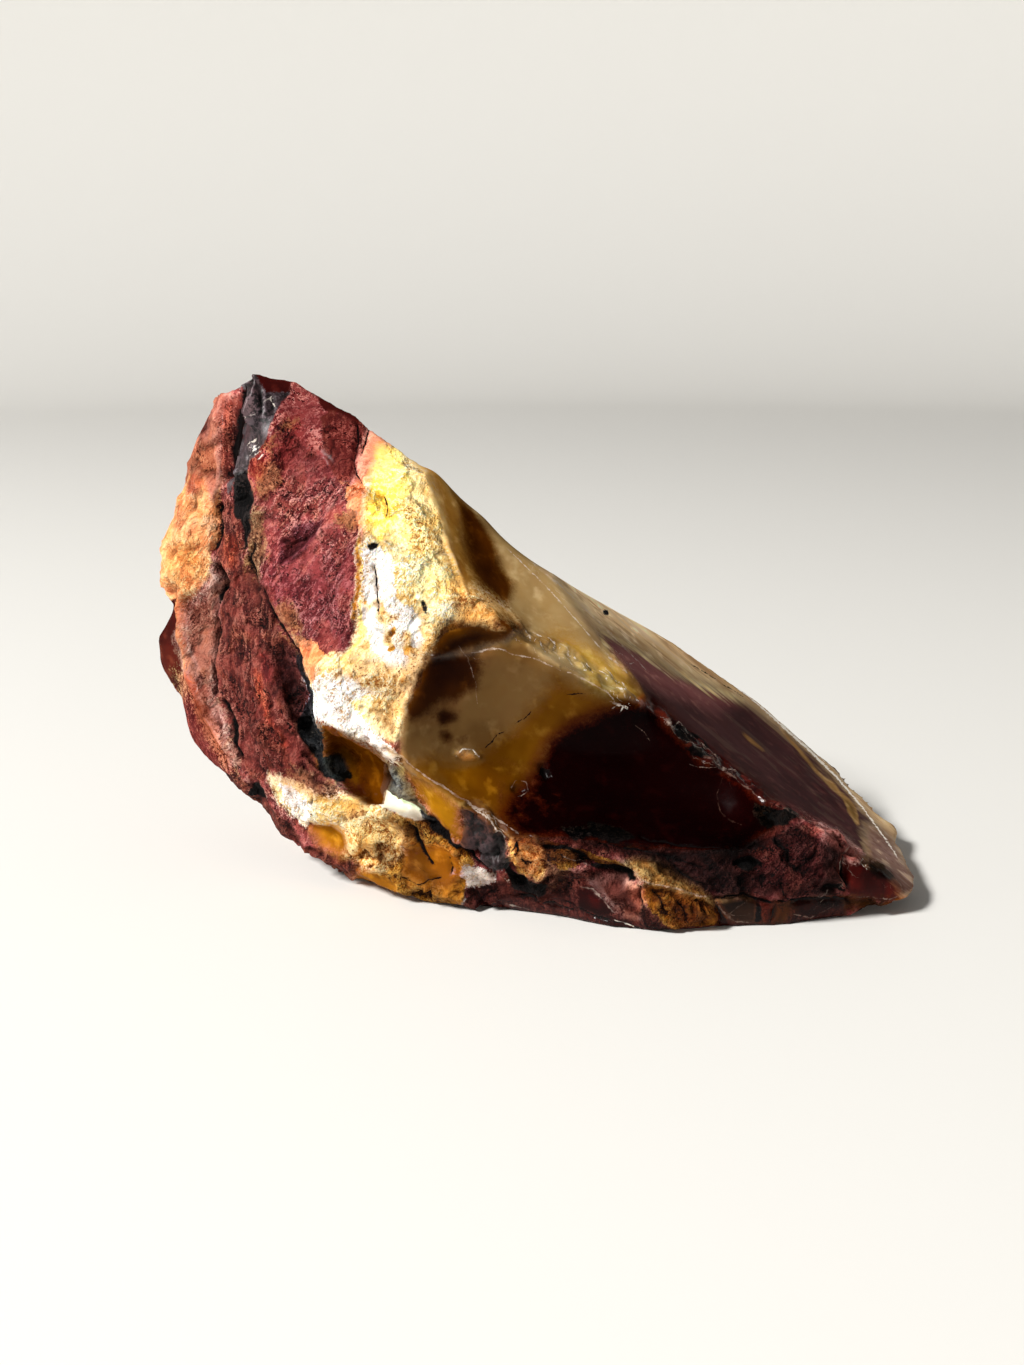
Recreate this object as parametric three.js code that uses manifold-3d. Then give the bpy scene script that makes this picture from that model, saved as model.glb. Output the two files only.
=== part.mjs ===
// A rough lump of mookaite, a jasper with maroon, mustard, white and clear grey bands.
// It is one stone: a peaked block whose breaks meet in sharp ridges, with a glassy scoop in its
// front, a long glassy slope on its right, a layered rind on its left and a flat, worn foot.
// Millimetres, +Z up, +X along the stone from the peak to the tip, +Y to the back.

import * as THREE from "three";
import { ImprovedNoise } from "three/addons/math/ImprovedNoise.js";
import { TessellateModifier } from "three/addons/modifiers/TessellateModifier.js";
import { mergeVertices } from "three/addons/utils/BufferGeometryUtils.js";
import Module from "manifold-3d";

const wasm = await Module();
wasm.setup();

// Driving dimensions: the stone's box
const LENGTH = 105;
const DEPTH = 56;
const HEIGHT = 68;

// The longest edge of a facet
const LONGEST_EDGE = 3.5;

// How far a rough, a worn and a glassy break leave their own curve
const ROUGH = 1.1;
const WORN = 0.45;
const GLASSY = 0.05;

// How far the breaks of the back bend in broad swells, and how wide a swell is
const SWELL = 3.6;
const SWELL_WIDTH = 17;

// The corners where breaks meet, as [along, back, up]
const CORNERS = {
  apex: [-38.5, 4, 68],
  crest: [-33, 6, 66.5],
  shoulder: [-25, 4, 62],
  ridge0: [-19, 0, 58],
  top1: [-13, -2, 53.5],
  top2: [-5, -3, 47],
  dip: [1, -4, 42.5],
  far1: [9.5, 10, 35.5],
  far2: [21.5, 20, 27],
  far3: [34, 25, 17.5],
  far4: [46, 22, 7.5],
  far5: [51.5, 8, 3],
  nick: [50.5, 1, 2.5],
  rim: [50, -9, 3],
  tip: [49.5, -18.5, 3],
  tip_low: [48, -21.5, 1.5],
  tip_foot: [41.5, -24, 1.5],
  gap0: [-40, 4, 66],
  left1: [-44.5, 12, 63.5],
  left2: [-48.5, 12, 55.5],
  left3: [-51.5, 12, 48.5],
  left4: [-54.8, 12, 43],
  left5: [-53.5, 12, 37],
  notch: [-51.5, 11, 34.5],
  left6: [-54, 13, 29],
  left7: [-51.5, 12, 21],
  left8: [-49.5, 8, 16.5],
  left9: [-43.5, 3, 11.5],
  left10: [-37, -3, 8],
  left11: [-33.5, -7, 5.5],
  left12: [-28.5, -11, 3.5],
  left13: [-23.5, -15, 3],
  left14: [-18, -18, 1],
  foot1: [-12, -17.5, -0.8],
  foot2: [-5, -19.5, -0.8],
  foot3: [3, -23.5, -0.8],
  foot4: [10, -28, -0.8],
  foot5: [14, -29, -0.8],
  foot6: [22, -27.5, -0.8],
  foot7: [31.5, -27, -0.8],
  foot8: [39, -23.5, -0.8],
  gap1: [-42, 6.6, 57],
  gap2: [-43.5, 6.8, 50],
  gap3: [-45, 6.6, 44],
  gap4: [-42.5, 3.5, 38],
  gap5: [-44, 4, 31],
  gap6: [-41.5, 1, 22.5],
  gap7: [-38.5, -2.5, 16.5],
  gap8: [-35.5, -6, 12.5],
  vein1: [-36.5, 0, 59],
  vein2: [-38, -0.5, 51],
  vein3: [-36.5, -3, 40.5],
  vein4: [-33, -7.5, 32.5],
  rim1: [-49.5, 9, 33],
  rim2: [-47, 6, 25],
  rim3: [-44, 2, 17.5],
  maroon1: [-23, -8.5, 52],
  maroon2: [-33.5, -5, 44],
  maroon3: [-25, -15.5, 35],
  ridge1: [-15, -5, 54],
  ridge2: [-12.5, -10, 49.5],
  ridge3: [-10.5, -14, 45],
  ridge4: [-8.5, -18.5, 40.5],
  nose: [-3, -20.5, 37],
  under1: [-8.5, -19.5, 34.5],
  under2: [-13.5, -21, 34],
  under3: [-15, -22.5, 30.5],
  under4: [-16.5, -24.5, 27.5],
  under5: [-17.5, -25, 23],
  lip1: [-29, -15, 31],
  lip2: [-28, -19, 24],
  lip3: [-23, -22.5, 23.5],
  lip4: [-17, -25, 20.5],
  lip5: [-13, -26, 18],
  lip6: [-9, -27, 15.5],
  lip7: [-3.5, -28, 12],
  hack1: [-2, -19.5, 35.5],
  hack2: [2.5, -20.5, 32.5],
  hack3: [7.5, -20, 30],
  hack4: [12.5, -18, 27.5],
  edge1: [6, -8, 36],
  edge2: [10.5, -12, 30.5],
  edge3: [14.5, -15, 26],
  edge4: [19.5, -18, 21.5],
  edge5: [25, -21, 18.5],
  edge6: [28.5, -23, 16],
  edge7: [33, -24.5, 14],
  edge8: [36, -25, 12.5],
  edge9: [39, -25.5, 9.5],
  edge10: [43, -25, 7],
  edge11: [47, -23, 3],
  cave1: [-32.5, -6.5, 29],
  cave2: [-31.5, -7.5, 23],
  cave3: [-29.5, -8, 18],
  bank1: [-35, -6.5, 29.5],
  bank2: [-33, -8.5, 22.5],
  bank3: [-31, -10.5, 16],
  bank4: [-26.5, -14, 11.5],
  deep1: [-25.5, -11, 16.5],
  deep2: [-20, -16, 15],
  deep3: [-14.5, -21, 14.5],
  floor1: [-23, -16, 12],
  floor2: [-20, -19.5, 12.5],
  floor3: [-14.5, -22.5, 13],
  floor4: [-10, -23.5, 9],
  floor5: [-5, -25, 7.5],
  band1: [4, -27.5, 12.5],
  band2: [10, -27.5, 12],
  band3: [17.5, -27.5, 11],
  band4: [25, -27, 11],
  band5: [29.5, -24.5, 13],
  ledge1: [2.5, -28.5, 9.5],
  ledge2: [13, -29.5, 7.5],
  ledge3: [21, -28.5, 4.5],
  ledge4: [28, -27.5, 3.5],
  ledge5: [38.5, -25.5, 3],
  chunk1: [-25.5, -15, 10],
  chunk2: [-18, -18, 5],
  back1: [-38, 23, 55],
  back2: [-46, 25, 30],
  back3: [-42, 22, 10],
  back4: [-12, 25, 44],
  back5: [4, 27, 20],
  back6: [36, 26, 6],
  heel1: [-28, 18, -0.8],
  heel2: [0, 26, -0.8],
  heel3: [34, 23, -0.8],
  heel4: [45, 6, -0.8],
  heel5: [44, -14, -0.8],
  heel6: [-29, -1, -0.8],
};

// Every break, as the corners round it, how far its middle is hollowed (or swells, where negative)
// and its relief
const BREAKS = [
  { name: "peach_bulge", hollow: -1.6, relief: ROUGH,
    corners: `gap0 left1 left2 left3 left4 left5 notch gap4 gap3 gap2 gap1` },
  { name: "outer_rim", hollow: -0.6, relief: WORN,
    corners: `notch left6 left7 left8 left9 left10 gap8 rim3 rim2 rim1` },
  { name: "inner_rim", hollow: 0.2, relief: ROUGH,
    corners: `notch rim1 rim2 rim3 gap8 gap7 gap6 gap5 gap4` },
  { name: "vein", hollow: -0.6, relief: ROUGH,
    corners: `gap1 gap2 gap3 gap4 vein3 vein2 vein1 apex gap0` },
  { name: "fibrous_bed", hollow: -0.8, relief: ROUGH,
    corners: `gap5 gap6 gap7 gap8 bank4 bank3 bank2 bank1 vein4 vein3 gap4` },
  { name: "maroon_crest", hollow: -0.5, relief: ROUGH,
    corners: `vein1 vein2 vein3 maroon2 maroon1 shoulder crest apex` },
  { name: "maroon_face", hollow: 0.4, relief: ROUGH,
    corners: `vein4 lip1 maroon3 maroon1 maroon2 vein3` },
  { name: "chalk_bulge", hollow: -1.6, relief: ROUGH,
    corners: `maroon1 maroon3 under2 ridge4 ridge3 ridge2 ridge1 ridge0 shoulder` },
  { name: "under_nose", hollow: 0.8, relief: WORN, corners: "under2 under1 hack1 nose ridge4" },
  { name: "chalk_wedge", hollow: -0.8, relief: ROUGH,
    corners: `lip1 lip2 lip3 lip4 under5 under4 under3 under2 maroon3` },
  { name: "cavity_left", hollow: 0.3, relief: ROUGH,
    corners: `vein4 bank1 bank2 bank3 cave3 cave2 cave1` },
  { name: "cavity_right", hollow: 0.2, relief: ROUGH,
    corners: `vein4 cave1 cave2 cave3 lip2 lip1` },
  { name: "recess_mouth", hollow: 0.3, relief: ROUGH, corners: "bank3 bank4 floor1 deep1 cave3" },
  { name: "recess_roof", hollow: 0.8, relief: WORN,
    corners: `cave3 deep1 deep2 deep3 lip5 lip4 lip3 lip2` },
  { name: "recess_floor", hollow: 0.3, relief: WORN,
    corners: `floor1 floor2 floor3 deep3 deep2 deep1` },
  { name: "recess_end", hollow: 0.3, relief: WORN, corners: "deep3 floor3 floor4 lip6 lip5" },
  { name: "clear_face", hollow: 2.2, relief: GLASSY,
    corners: `ridge0 ridge1 ridge2 ridge3 ridge4 nose hack1 hack2 hack3 hack4 edge3 edge2 edge1 dip
      top2 top1` },
  { name: "great_scoop", hollow: 5.5, relief: GLASSY,
    corners: `under3 under4 under5 lip4 lip5 lip6 lip7 band1 band2 band3 band4 band5 edge6 edge5 edge4
      edge3 hack4 hack3 hack2 hack1 under1 under2` },
  { name: "glassy_slope", hollow: 2, relief: GLASSY,
    corners: `dip edge1 edge2 edge3 edge4 edge5 edge6 edge7 edge8 edge9 edge10 edge11 tip rim nick
      far5 far4 far3 far2 far1` },
  { name: "purple_facet", hollow: 0.2, relief: WORN, corners: "floor4 floor5 ledge1 lip7 lip6" },
  { name: "maroon_band", hollow: -0.8, relief: ROUGH,
    corners: `ledge1 ledge2 ledge3 ledge4 ledge5 edge9 edge8 edge7 edge6 band5 band4 band3 band2 band1
      lip7` },
  { name: "tip_facets", hollow: 0.3, relief: WORN,
    corners: `ledge5 tip_foot tip_low tip edge11 edge10 edge9` },
  { name: "chunk_top", hollow: -0.4, relief: ROUGH,
    corners: `left10 left11 chunk1 floor1 bank4 gap8` },
  { name: "amber_hollow", hollow: 0.9, relief: ROUGH,
    corners: `left12 left13 left14 chunk2 chunk1 left11` },
  { name: "ochre_slab", hollow: -0.6, relief: ROUGH,
    corners: `chunk2 left14 foot1 foot2 floor5 floor4 floor3 floor2 floor1 chunk1` },
  { name: "base_facet", hollow: 0.6, relief: ROUGH,
    corners: `foot2 foot3 foot4 foot5 ledge2 ledge1 floor5` },
  { name: "ochre_chunk", hollow: -0.8, relief: ROUGH, corners: "foot5 foot6 ledge3 ledge2" },
  { name: "dark_facets", hollow: 0.5, relief: WORN,
    corners: `foot6 foot7 foot8 tip_foot ledge5 ledge4 ledge3` },
  { name: "foot", hollow: 0, relief: GLASSY,
    corners: `heel6 heel1 heel2 heel3 heel4 heel5 foot8 foot7 foot6 foot5 foot4 foot3 foot2 foot1` },
  { name: "under_tip", hollow: 0.4, relief: WORN,
    corners: `foot8 heel5 heel4 far5 nick rim tip tip_low tip_foot` },
  { name: "under_left", hollow: 0.3, relief: ROUGH,
    corners: `left13 left12 left11 left10 heel6 foot1 left14` },
  { name: "under_rind", hollow: -0.6, swell: true, relief: ROUGH,
    corners: `back3 heel1 heel6 left10 left9 left8` },
  { name: "rind_back", hollow: -1, swell: true, relief: ROUGH,
    corners: `back1 back2 left5 left4 left3 left2 left1` },
  { name: "rind_heel", hollow: -0.6, swell: true, relief: WORN,
    corners: `back2 back3 left8 left7 left6 notch left5` },
  { name: "crown_back", hollow: 0.4, swell: true, relief: ROUGH, corners: "apex crest back1 left1 gap0" },
  { name: "shoulder_back", hollow: 1, swell: true, relief: WORN, corners: "crest shoulder ridge0 back4 back1" },
  { name: "saddle_back", hollow: 0.6, swell: true, relief: GLASSY, corners: "ridge0 top1 top2 back4" },
  { name: "dip_back", hollow: 1.4, relief: GLASSY, corners: "top2 dip far1 far2 back4" },
  { name: "back_scoop", hollow: 3.5, swell: true, relief: GLASSY, corners: "back1 back4 back5 back2" },
  { name: "back_slope", hollow: 1.6, relief: WORN, corners: "back4 far2 far3 back5" },
  { name: "back_right", hollow: 0.8, swell: true, relief: WORN, corners: "far3 far4 back6 back5" },
  { name: "back_corner", hollow: 0, swell: true, relief: WORN, corners: "far4 far5 back6" },
  { name: "back_end", hollow: 0.3, swell: true, relief: ROUGH, corners: "far5 heel4 heel3 back6" },
  { name: "back_heel", hollow: 0.8, swell: true, relief: ROUGH, corners: "back5 back6 heel3 heel2" },
  { name: "back_base", hollow: -0.8, swell: true, relief: ROUGH, corners: "back2 back5 heel2 heel1 back3" },
];

const noise = new ImprovedNoise();

// Uneven stone: broad swells with finer grain on them, from -1 to 1
function unevenness(point) {
  let sum = 0;
  let share = 0.6;
  let pitch = 8;
  for (let octave = 0; octave < 3; octave += 1) {
    sum += share * noise.noise(point.x / pitch + 31, point.y / pitch + 17, point.z / pitch + 5);
    share *= 0.6;
    pitch *= 0.45;
  }
  return sum;
}

// The flat triangles that span a break's corners
function spanned(rim) {
  const normal = new THREE.Vector3();
  rim.forEach((corner, i) => normal.add(corner.clone().cross(rim[(i + 1) % rim.length])));
  normal.normalize();
  const across = new THREE.Vector3(0, 0, 1).cross(normal);
  if (across.length() < 0.1) across.set(1, 0, 0).projectOnPlane(normal);
  across.normalize();
  const upward = normal.clone().cross(across);
  const flat = rim.map((corner) => new THREE.Vector2(corner.dot(across), corner.dot(upward)));
  return THREE.ShapeUtils.triangulateShape(flat, []).flat().map((i) => rim[i]);
}

// The whole net of breaks in small triangles, each marked with its break's number
function dividedNet() {
  const places = [];
  const marks = [];
  BREAKS.forEach(({ corners }, number) => {
    const rim = corners.trim().split(/\s+/).map((name) => new THREE.Vector3(...CORNERS[name]));
    for (const place of spanned(rim)) {
      places.push(...place.toArray());
      marks.push(number, 0, 0);
    }
  });
  const net = new THREE.BufferGeometry();
  net.setAttribute("position", new THREE.Float32BufferAttribute(places, 3));
  net.setAttribute("color", new THREE.Float32BufferAttribute(marks, 3));
  return new TessellateModifier(LONGEST_EDGE, 16).modify(net);
}

// The net as shared points, each with its neighbours and the breaks that meet there
function knitted(net) {
  const position = net.getAttribute("position");
  const mark = net.getAttribute("color");
  const known = new Map();
  const points = [];
  const triangles = [];
  for (let i = 0; i < position.count; i += 1) {
    const place = new THREE.Vector3().fromBufferAttribute(position, i);
    const key = place.toArray().map((value) => Math.round(value * 1000)).join(" ");
    if (!known.has(key)) {
      known.set(key, points.length);
      points.push({ place, neighbours: new Set(), breaks: new Set() });
    }
    const index = known.get(key);
    points[index].breaks.add(Math.round(mark.getX(i)));
    triangles.push(index);
  }
  for (let i = 0; i < triangles.length; i += 3) {
    const [a, b, c] = triangles.slice(i, i + 3).map((index) => points[index]);
    a.neighbours.add(b).add(c);
    b.neighbours.add(c).add(a);
    c.neighbours.add(a).add(b);
  }
  return { points, triangles };
}

// Draws each break into one even sheet between its ridges
function evened(points) {
  const inner = points.filter((point) => point.breaks.size === 1);
  for (let pass = 0; pass < 40; pass += 1) {
    for (const { place, neighbours } of inner) {
      place.set(0, 0, 0);
      for (const other of neighbours) place.addScaledVector(other.place, 1 / neighbours.size);
    }
  }
}

// How far into its bowl each point lies: 0 on a ridge, 1 in the middle of its break
function bowlShares(points) {
  const inner = points.filter((point) => point.breaks.size === 1);
  points.forEach((point) => (point.share = 0));
  for (let pass = 0; pass < 250; pass += 1) {
    for (const point of inner) {
      let sum = 0;
      for (const other of point.neighbours) sum += other.share;
      point.share = sum / point.neighbours.size + 1;
    }
  }
  const deepest = BREAKS.map(() => 0);
  for (const { breaks, share } of inner) {
    const [number] = breaks;
    deepest[number] = Math.max(deepest[number], share);
  }
  for (const point of inner) {
    const [number] = point.breaks;
    point.share /= deepest[number];
  }
}

function geometryOf({ points, triangles }) {
  const made = new THREE.BufferGeometry();
  const places = points.flatMap((point) => point.place.toArray());
  made.setAttribute("position", new THREE.Float32BufferAttribute(places, 3));
  made.setIndex(triangles);
  made.computeVertexNormals();
  return made;
}

// The mean direction that each break faces
function facings({ points, triangles }) {
  const sums = BREAKS.map(() => new THREE.Vector3());
  for (let i = 0; i < triangles.length; i += 3) {
    const [a, b, c] = triangles.slice(i, i + 3).map((index) => points[index]);
    const area = b.place.clone().sub(a.place).cross(c.place.clone().sub(a.place));
    for (const number of a.breaks) if (b.breaks.has(number) && c.breaks.has(number)) sums[number].add(area);
  }
  return sums.map((sum) => sum.normalize());
}

// Hollows or swells each break, then roughens it
function broken() {
  const net = knitted(dividedNet());
  const { points } = net;
  evened(points);
  bowlShares(points);
  const facing = facings(net);
  for (const { place, breaks, share } of points) {
    const [number] = breaks;
    if (share > 0) place.addScaledVector(facing[number], -BREAKS[number].hollow * share);
  }
  const normals = geometryOf(net).getAttribute("normal");
  points.forEach((point, i) => {
    const reliefs = [...point.breaks].map((number) => BREAKS[number].relief);
    const relief = reliefs.reduce((sum, value) => sum + value, 0) / reliefs.length;
    const outward = new THREE.Vector3().fromBufferAttribute(normals, i);
    const swelling = [...point.breaks].every((number) => BREAKS[number].swell);
    const { x, y, z } = point.place.clone().divideScalar(SWELL_WIDTH);
    const swell = swelling ? SWELL * noise.noise(x + 3, y + 8, z + 2) : 0;
    point.place.addScaledVector(outward, relief * unevenness(point.place) + swell);
  });
  return geometryOf(net);
}

function solid(geometry) {
  const vertProperties = new Float32Array(geometry.getAttribute("position").array);
  const triVerts = new Uint32Array(geometry.index.array);
  return new wasm.Manifold(new wasm.Mesh({ numProp: 3, vertProperties, triVerts }));
}

// Everything under the table's level, which leaves the flat foot
function underTable() {
  const [x, z] = [2 * LENGTH, LENGTH];
  const box = new THREE.BoxGeometry(x, x, z).translate(0, 0, -z / 2);
  box.deleteAttribute("normal");
  box.deleteAttribute("uv");
  return mergeVertices(box);
}

// Sets the stone to its driving dimensions, over the middle of its foot plane
function fitted(geometry) {
  geometry.computeBoundingBox();
  const { min, max } = geometry.boundingBox;
  const size = max.clone().sub(min);
  return geometry
    .translate(-(min.x + max.x) / 2, -(min.y + max.y) / 2, -min.z)
    .scale(LENGTH / size.x, DEPTH / size.y, HEIGHT / size.z);
}

function stoneGeometry() {
  const body = solid(broken()).subtract(solid(underTable()));
  const { vertProperties, triVerts } = body.getMesh();
  const made = new THREE.BufferGeometry();
  made.setAttribute("position", new THREE.BufferAttribute(new Float32Array(vertProperties), 3));
  made.setIndex(new THREE.BufferAttribute(new Uint32Array(triVerts), 1));
  return fitted(made);
}

const stone = new THREE.Group();
const surface = new THREE.MeshStandardMaterial({ color: 0x7a3038, roughness: 0.6, flatShading: true });
const mesh = new THREE.Mesh(stoneGeometry(), surface);
mesh.name = "mookaite_stone";
stone.add(mesh);

export default stone;
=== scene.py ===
# %% [markdown]
# # A rough lump of mookaite
#
# Mookaite is a jasper from a dried sea bed: silica that took its maroon, mustard and mauve from
# iron, with clear grey chalcedony where no iron came. This lump is one stone, but each break of it
# looks like another material: sugary, chalky, fibrous or as glassy as a bottle. The lesson takes
# the plain solid, gives it a fine skin, draws the coloured layers on it as outlines seen from the
# front, and builds one material that turns from layer to layer.

# %% Open the plain solid
import math
import bpy
import numpy as np
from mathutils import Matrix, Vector, noise


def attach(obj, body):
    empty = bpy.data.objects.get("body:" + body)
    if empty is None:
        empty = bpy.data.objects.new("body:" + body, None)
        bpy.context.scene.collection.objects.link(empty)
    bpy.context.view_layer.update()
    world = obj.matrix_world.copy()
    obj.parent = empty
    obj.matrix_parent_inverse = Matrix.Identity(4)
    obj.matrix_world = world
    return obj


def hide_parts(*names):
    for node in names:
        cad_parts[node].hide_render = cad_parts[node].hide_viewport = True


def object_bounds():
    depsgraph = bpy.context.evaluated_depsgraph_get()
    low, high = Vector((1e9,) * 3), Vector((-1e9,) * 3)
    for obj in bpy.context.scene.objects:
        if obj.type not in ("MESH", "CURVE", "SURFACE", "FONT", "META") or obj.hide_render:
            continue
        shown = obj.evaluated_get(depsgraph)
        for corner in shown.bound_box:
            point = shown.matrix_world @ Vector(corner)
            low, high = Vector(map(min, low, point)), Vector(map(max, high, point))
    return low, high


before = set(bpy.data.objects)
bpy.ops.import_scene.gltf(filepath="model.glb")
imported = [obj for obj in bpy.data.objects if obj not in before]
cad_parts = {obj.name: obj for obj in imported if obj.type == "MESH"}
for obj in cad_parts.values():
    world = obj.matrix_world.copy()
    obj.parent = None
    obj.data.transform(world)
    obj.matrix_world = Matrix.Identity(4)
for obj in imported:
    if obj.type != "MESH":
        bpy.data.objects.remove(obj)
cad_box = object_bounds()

print("solid's box in mm:", [[round(v * 1000, 1) for v in corner] for corner in cad_box])

# %% [markdown]
# ## The viewpoint
#
# The stone stands a quarter of a metre away and a little below the eye. The camera comes first,
# because the layers of the front are drawn by where they lie in its picture: a place in the picture
# is a pixel across and a pixel down in a frame of 1024 by 1365.

# %% Camera
EYE = np.array([-2.15, -253.0, 82.5])
LOOKS_DOWN = math.radians(12.6)
PIXELS_PER_UNIT = 1896.0
PICTURE = (1024, 1365)
SENSOR = 36.0

camera_data = bpy.data.cameras.new("viewpoint")
camera_data.sensor_width = SENSOR
camera_data.lens = PIXELS_PER_UNIT / PICTURE[1] * SENSOR
camera_data.clip_start = 0.01
camera = bpy.data.objects.new("viewpoint", camera_data)
camera.location = EYE / 1000
camera.rotation_euler = (math.pi / 2 - LOOKS_DOWN, 0, 0)
bpy.context.scene.collection.objects.link(camera)
bpy.context.scene.camera = camera


def in_picture(points):
    """Where points in mm fall in the picture, as pixels across and down."""
    away = points - EYE
    depth = away[:, 1] * math.cos(LOOKS_DOWN) - away[:, 2] * math.sin(LOOKS_DOWN)
    rise = away[:, 1] * math.sin(LOOKS_DOWN) + away[:, 2] * math.cos(LOOKS_DOWN)
    across = PICTURE[0] / 2 + PIXELS_PER_UNIT * away[:, 0] / depth
    down = PICTURE[1] / 2 - PIXELS_PER_UNIT * rise / depth
    return np.stack([across, down], axis=1)


print("lens", round(camera_data.lens, 1), "mm")

# %% [markdown]
# ## A fine skin on the solid
#
# The solid's facets are about three millimetres wide, far too coarse for grain. Its triangles are
# joined up, and a voxel remesh wraps it in an even net of small squares, which any later step can
# push in or out wherever it likes. An even net is better here than subdivision, which would keep
# the uneven triangles of the solid. The remesh rounds thin points off, so the tip is then drawn out
# again by a little more than a millimetre.

# %% Copy and remesh
NET = 0.00039

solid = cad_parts["mookaite_stone"]
bpy.ops.object.select_all(action="DESELECT")
stone = solid.copy()
stone.data = solid.data.copy()
stone.name = "stone_skin"
stone.parent = None
bpy.context.scene.collection.objects.link(stone)
bpy.context.view_layer.objects.active = stone
stone.select_set(True)
bpy.ops.object.mode_set(mode="EDIT")
bpy.ops.mesh.select_all(action="SELECT")
bpy.ops.mesh.remove_doubles(threshold=0.000002)
bpy.ops.object.mode_set(mode="OBJECT")
bpy.ops.object.modifier_add(type="REMESH")
stone.modifiers[-1].mode = "VOXEL"
stone.modifiers[-1].voxel_size = NET
bpy.ops.object.modifier_apply(modifier=stone.modifiers[-1].name)
skin = stone.data
print(len(skin.vertices), "points,", sum(len(f.vertices) - 2 for f in skin.polygons), "triangles")

# %% Read and write the skin as arrays
COUNT = len(skin.vertices)


def read_points():
    flat = np.empty(COUNT * 3)
    skin.vertices.foreach_get("co", flat)
    return flat.reshape(-1, 3) * 1000


def read_normals():
    flat = np.empty(COUNT * 3)
    skin.vertices.foreach_get("normal", flat)
    return flat.reshape(-1, 3)


def write_points(points):
    skin.vertices.foreach_set("co", (points / 1000).ravel())
    skin.update()


edges = np.empty(len(skin.edges) * 2, dtype=np.int64)
skin.edges.foreach_get("vertices", edges)
edges = edges.reshape(-1, 2)
valence = np.bincount(edges.ravel(), minlength=COUNT).astype(float)


def averaged(values, rounds, weight=1.0):
    """Blends every value with its neighbours' mean, which smooths a surface or softens a mask."""
    values = values.copy().reshape(COUNT, -1)
    weight = np.broadcast_to(np.asarray(weight, dtype=float), COUNT)[:, None]
    a, b = edges[:, 0], edges[:, 1]
    for _ in range(rounds):
        for k in range(values.shape[1]):
            column = values[:, k]
            total = np.bincount(a, column[b], COUNT) + np.bincount(b, column[a], COUNT)
            values[:, k] = column + weight[:, 0] * (total / valence - column)
    return values.squeeze()


points = read_points()
spacing = np.linalg.norm(points[edges[:, 0]] - points[edges[:, 1]], axis=1)
print("mean spacing", round(float(spacing.mean()), 2), "mm")

# %% Draw out the tip
TIP_STARTS, TIP_LENGTH, DRAWN_OUT = 42, 10, 1.3

points[:, 0] += DRAWN_OUT * np.clip((points[:, 0] - TIP_STARTS) / TIP_LENGTH, 0, 1) ** 2
write_points(points)
print("the tip now reaches", round(float(points[:, 0].max()), 1), "mm")

# %% [markdown]
# ## Noise for a stone
#
# Nothing on a rock has a straight border. These helpers give the classic smooth noise at any pitch
# in millimetres, for every point of the skin, stretched along an axis where the stone is fibrous.
# Broken stone needs a second kind: cells that each hold one shallow bowl and one flat, tilted chip.
# The tilts come from Blender's own random state, so its seed is set, or each run would break the
# stone anew.

# %% Noise helpers
def rough(places, pitch, seed=0.0):
    """Smooth noise from about -1 to 1 at every place; pitch is one number or one for each axis."""
    scaled = places / np.asarray(pitch, dtype=float) + (seed, seed * 0.7 + 3.1, 5.3 - seed)
    return np.array([noise.noise(Vector(place)) for place in scaled])


BREAKS = 3
noise.seed_set(BREAKS)


def chipped(places, pitch, seed=0.0):
    """Shallow bowls that meet in sharp crests, and flat chips that step where they meet."""
    scaled = places / np.asarray(pitch, dtype=float) + (seed, seed * 0.7 + 3.1, 5.3 - seed)
    bowls, chips = np.empty(len(scaled)), np.empty(len(scaled))
    for i, place in enumerate(scaled):
        place = Vector(place)
        near, cores = noise.voronoi(place)
        bowls[i] = near[0] ** 2
        chips[i] = (place - cores[0]).dot(noise.noise_vector(cores[0] * 5.7))
        chips[i] += 0.4 * noise.noise(cores[0] * 9.1)
    return bowls, chips


broad = np.stack([rough(points, 5.0, s) for s in (1.0, 11.0)], axis=1)
fine = np.stack([rough(points, 1.7, s) for s in (2.0, 12.0)], axis=1)
print("noise ranges", round(float(broad.min()), 2), round(float(fine.max()), 2))

# %% [markdown]
# ## Which way a layer runs
#
# A layer goes through the stone, so its outline in the front continues straight to the back. Where
# the surface faces away from the viewer, the layer is let wander by a few millimetres, or the back
# would be an exact mirror image of the front.

# %% Places in the picture
normals = read_normals()
toward_eye = EYE - points
toward_eye /= np.linalg.norm(toward_eye, axis=1)[:, None]
facing = averaged((normals * toward_eye).sum(axis=1), 12)
hidden = np.clip(-averaged(np.clip(facing, -0.4, 0.4), 60) * 3, 0, 1)
wander = np.stack([rough(points, 17.0, s) for s in (21.0, 31.0, 41.0)], axis=1)
spots = in_picture(points + wander * hidden[:, None] * (16, 0, 13))
PIXELS_PER_MM = 8.1
frontal = np.clip(facing * 12 + 1, -3, 3)
print("faces away:", round(float((hidden > 0.5).mean()), 2))

# %% Distance to an outline or a line in the picture
FAR_OUT = -5.0


def corners_of(text):
    return np.array([[float(v) for v in pair.split(",")] for pair in text.split()])


def to_line(a, b, places):
    """Distance from every place to the segment a-b, and how far along it the nearest point is."""
    span = b - a
    share = np.clip(((places - a) @ span) / max(span @ span, 1e-9), 0, 1)
    return np.linalg.norm(places - (a + share[:, None] * span), axis=1), share


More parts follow.
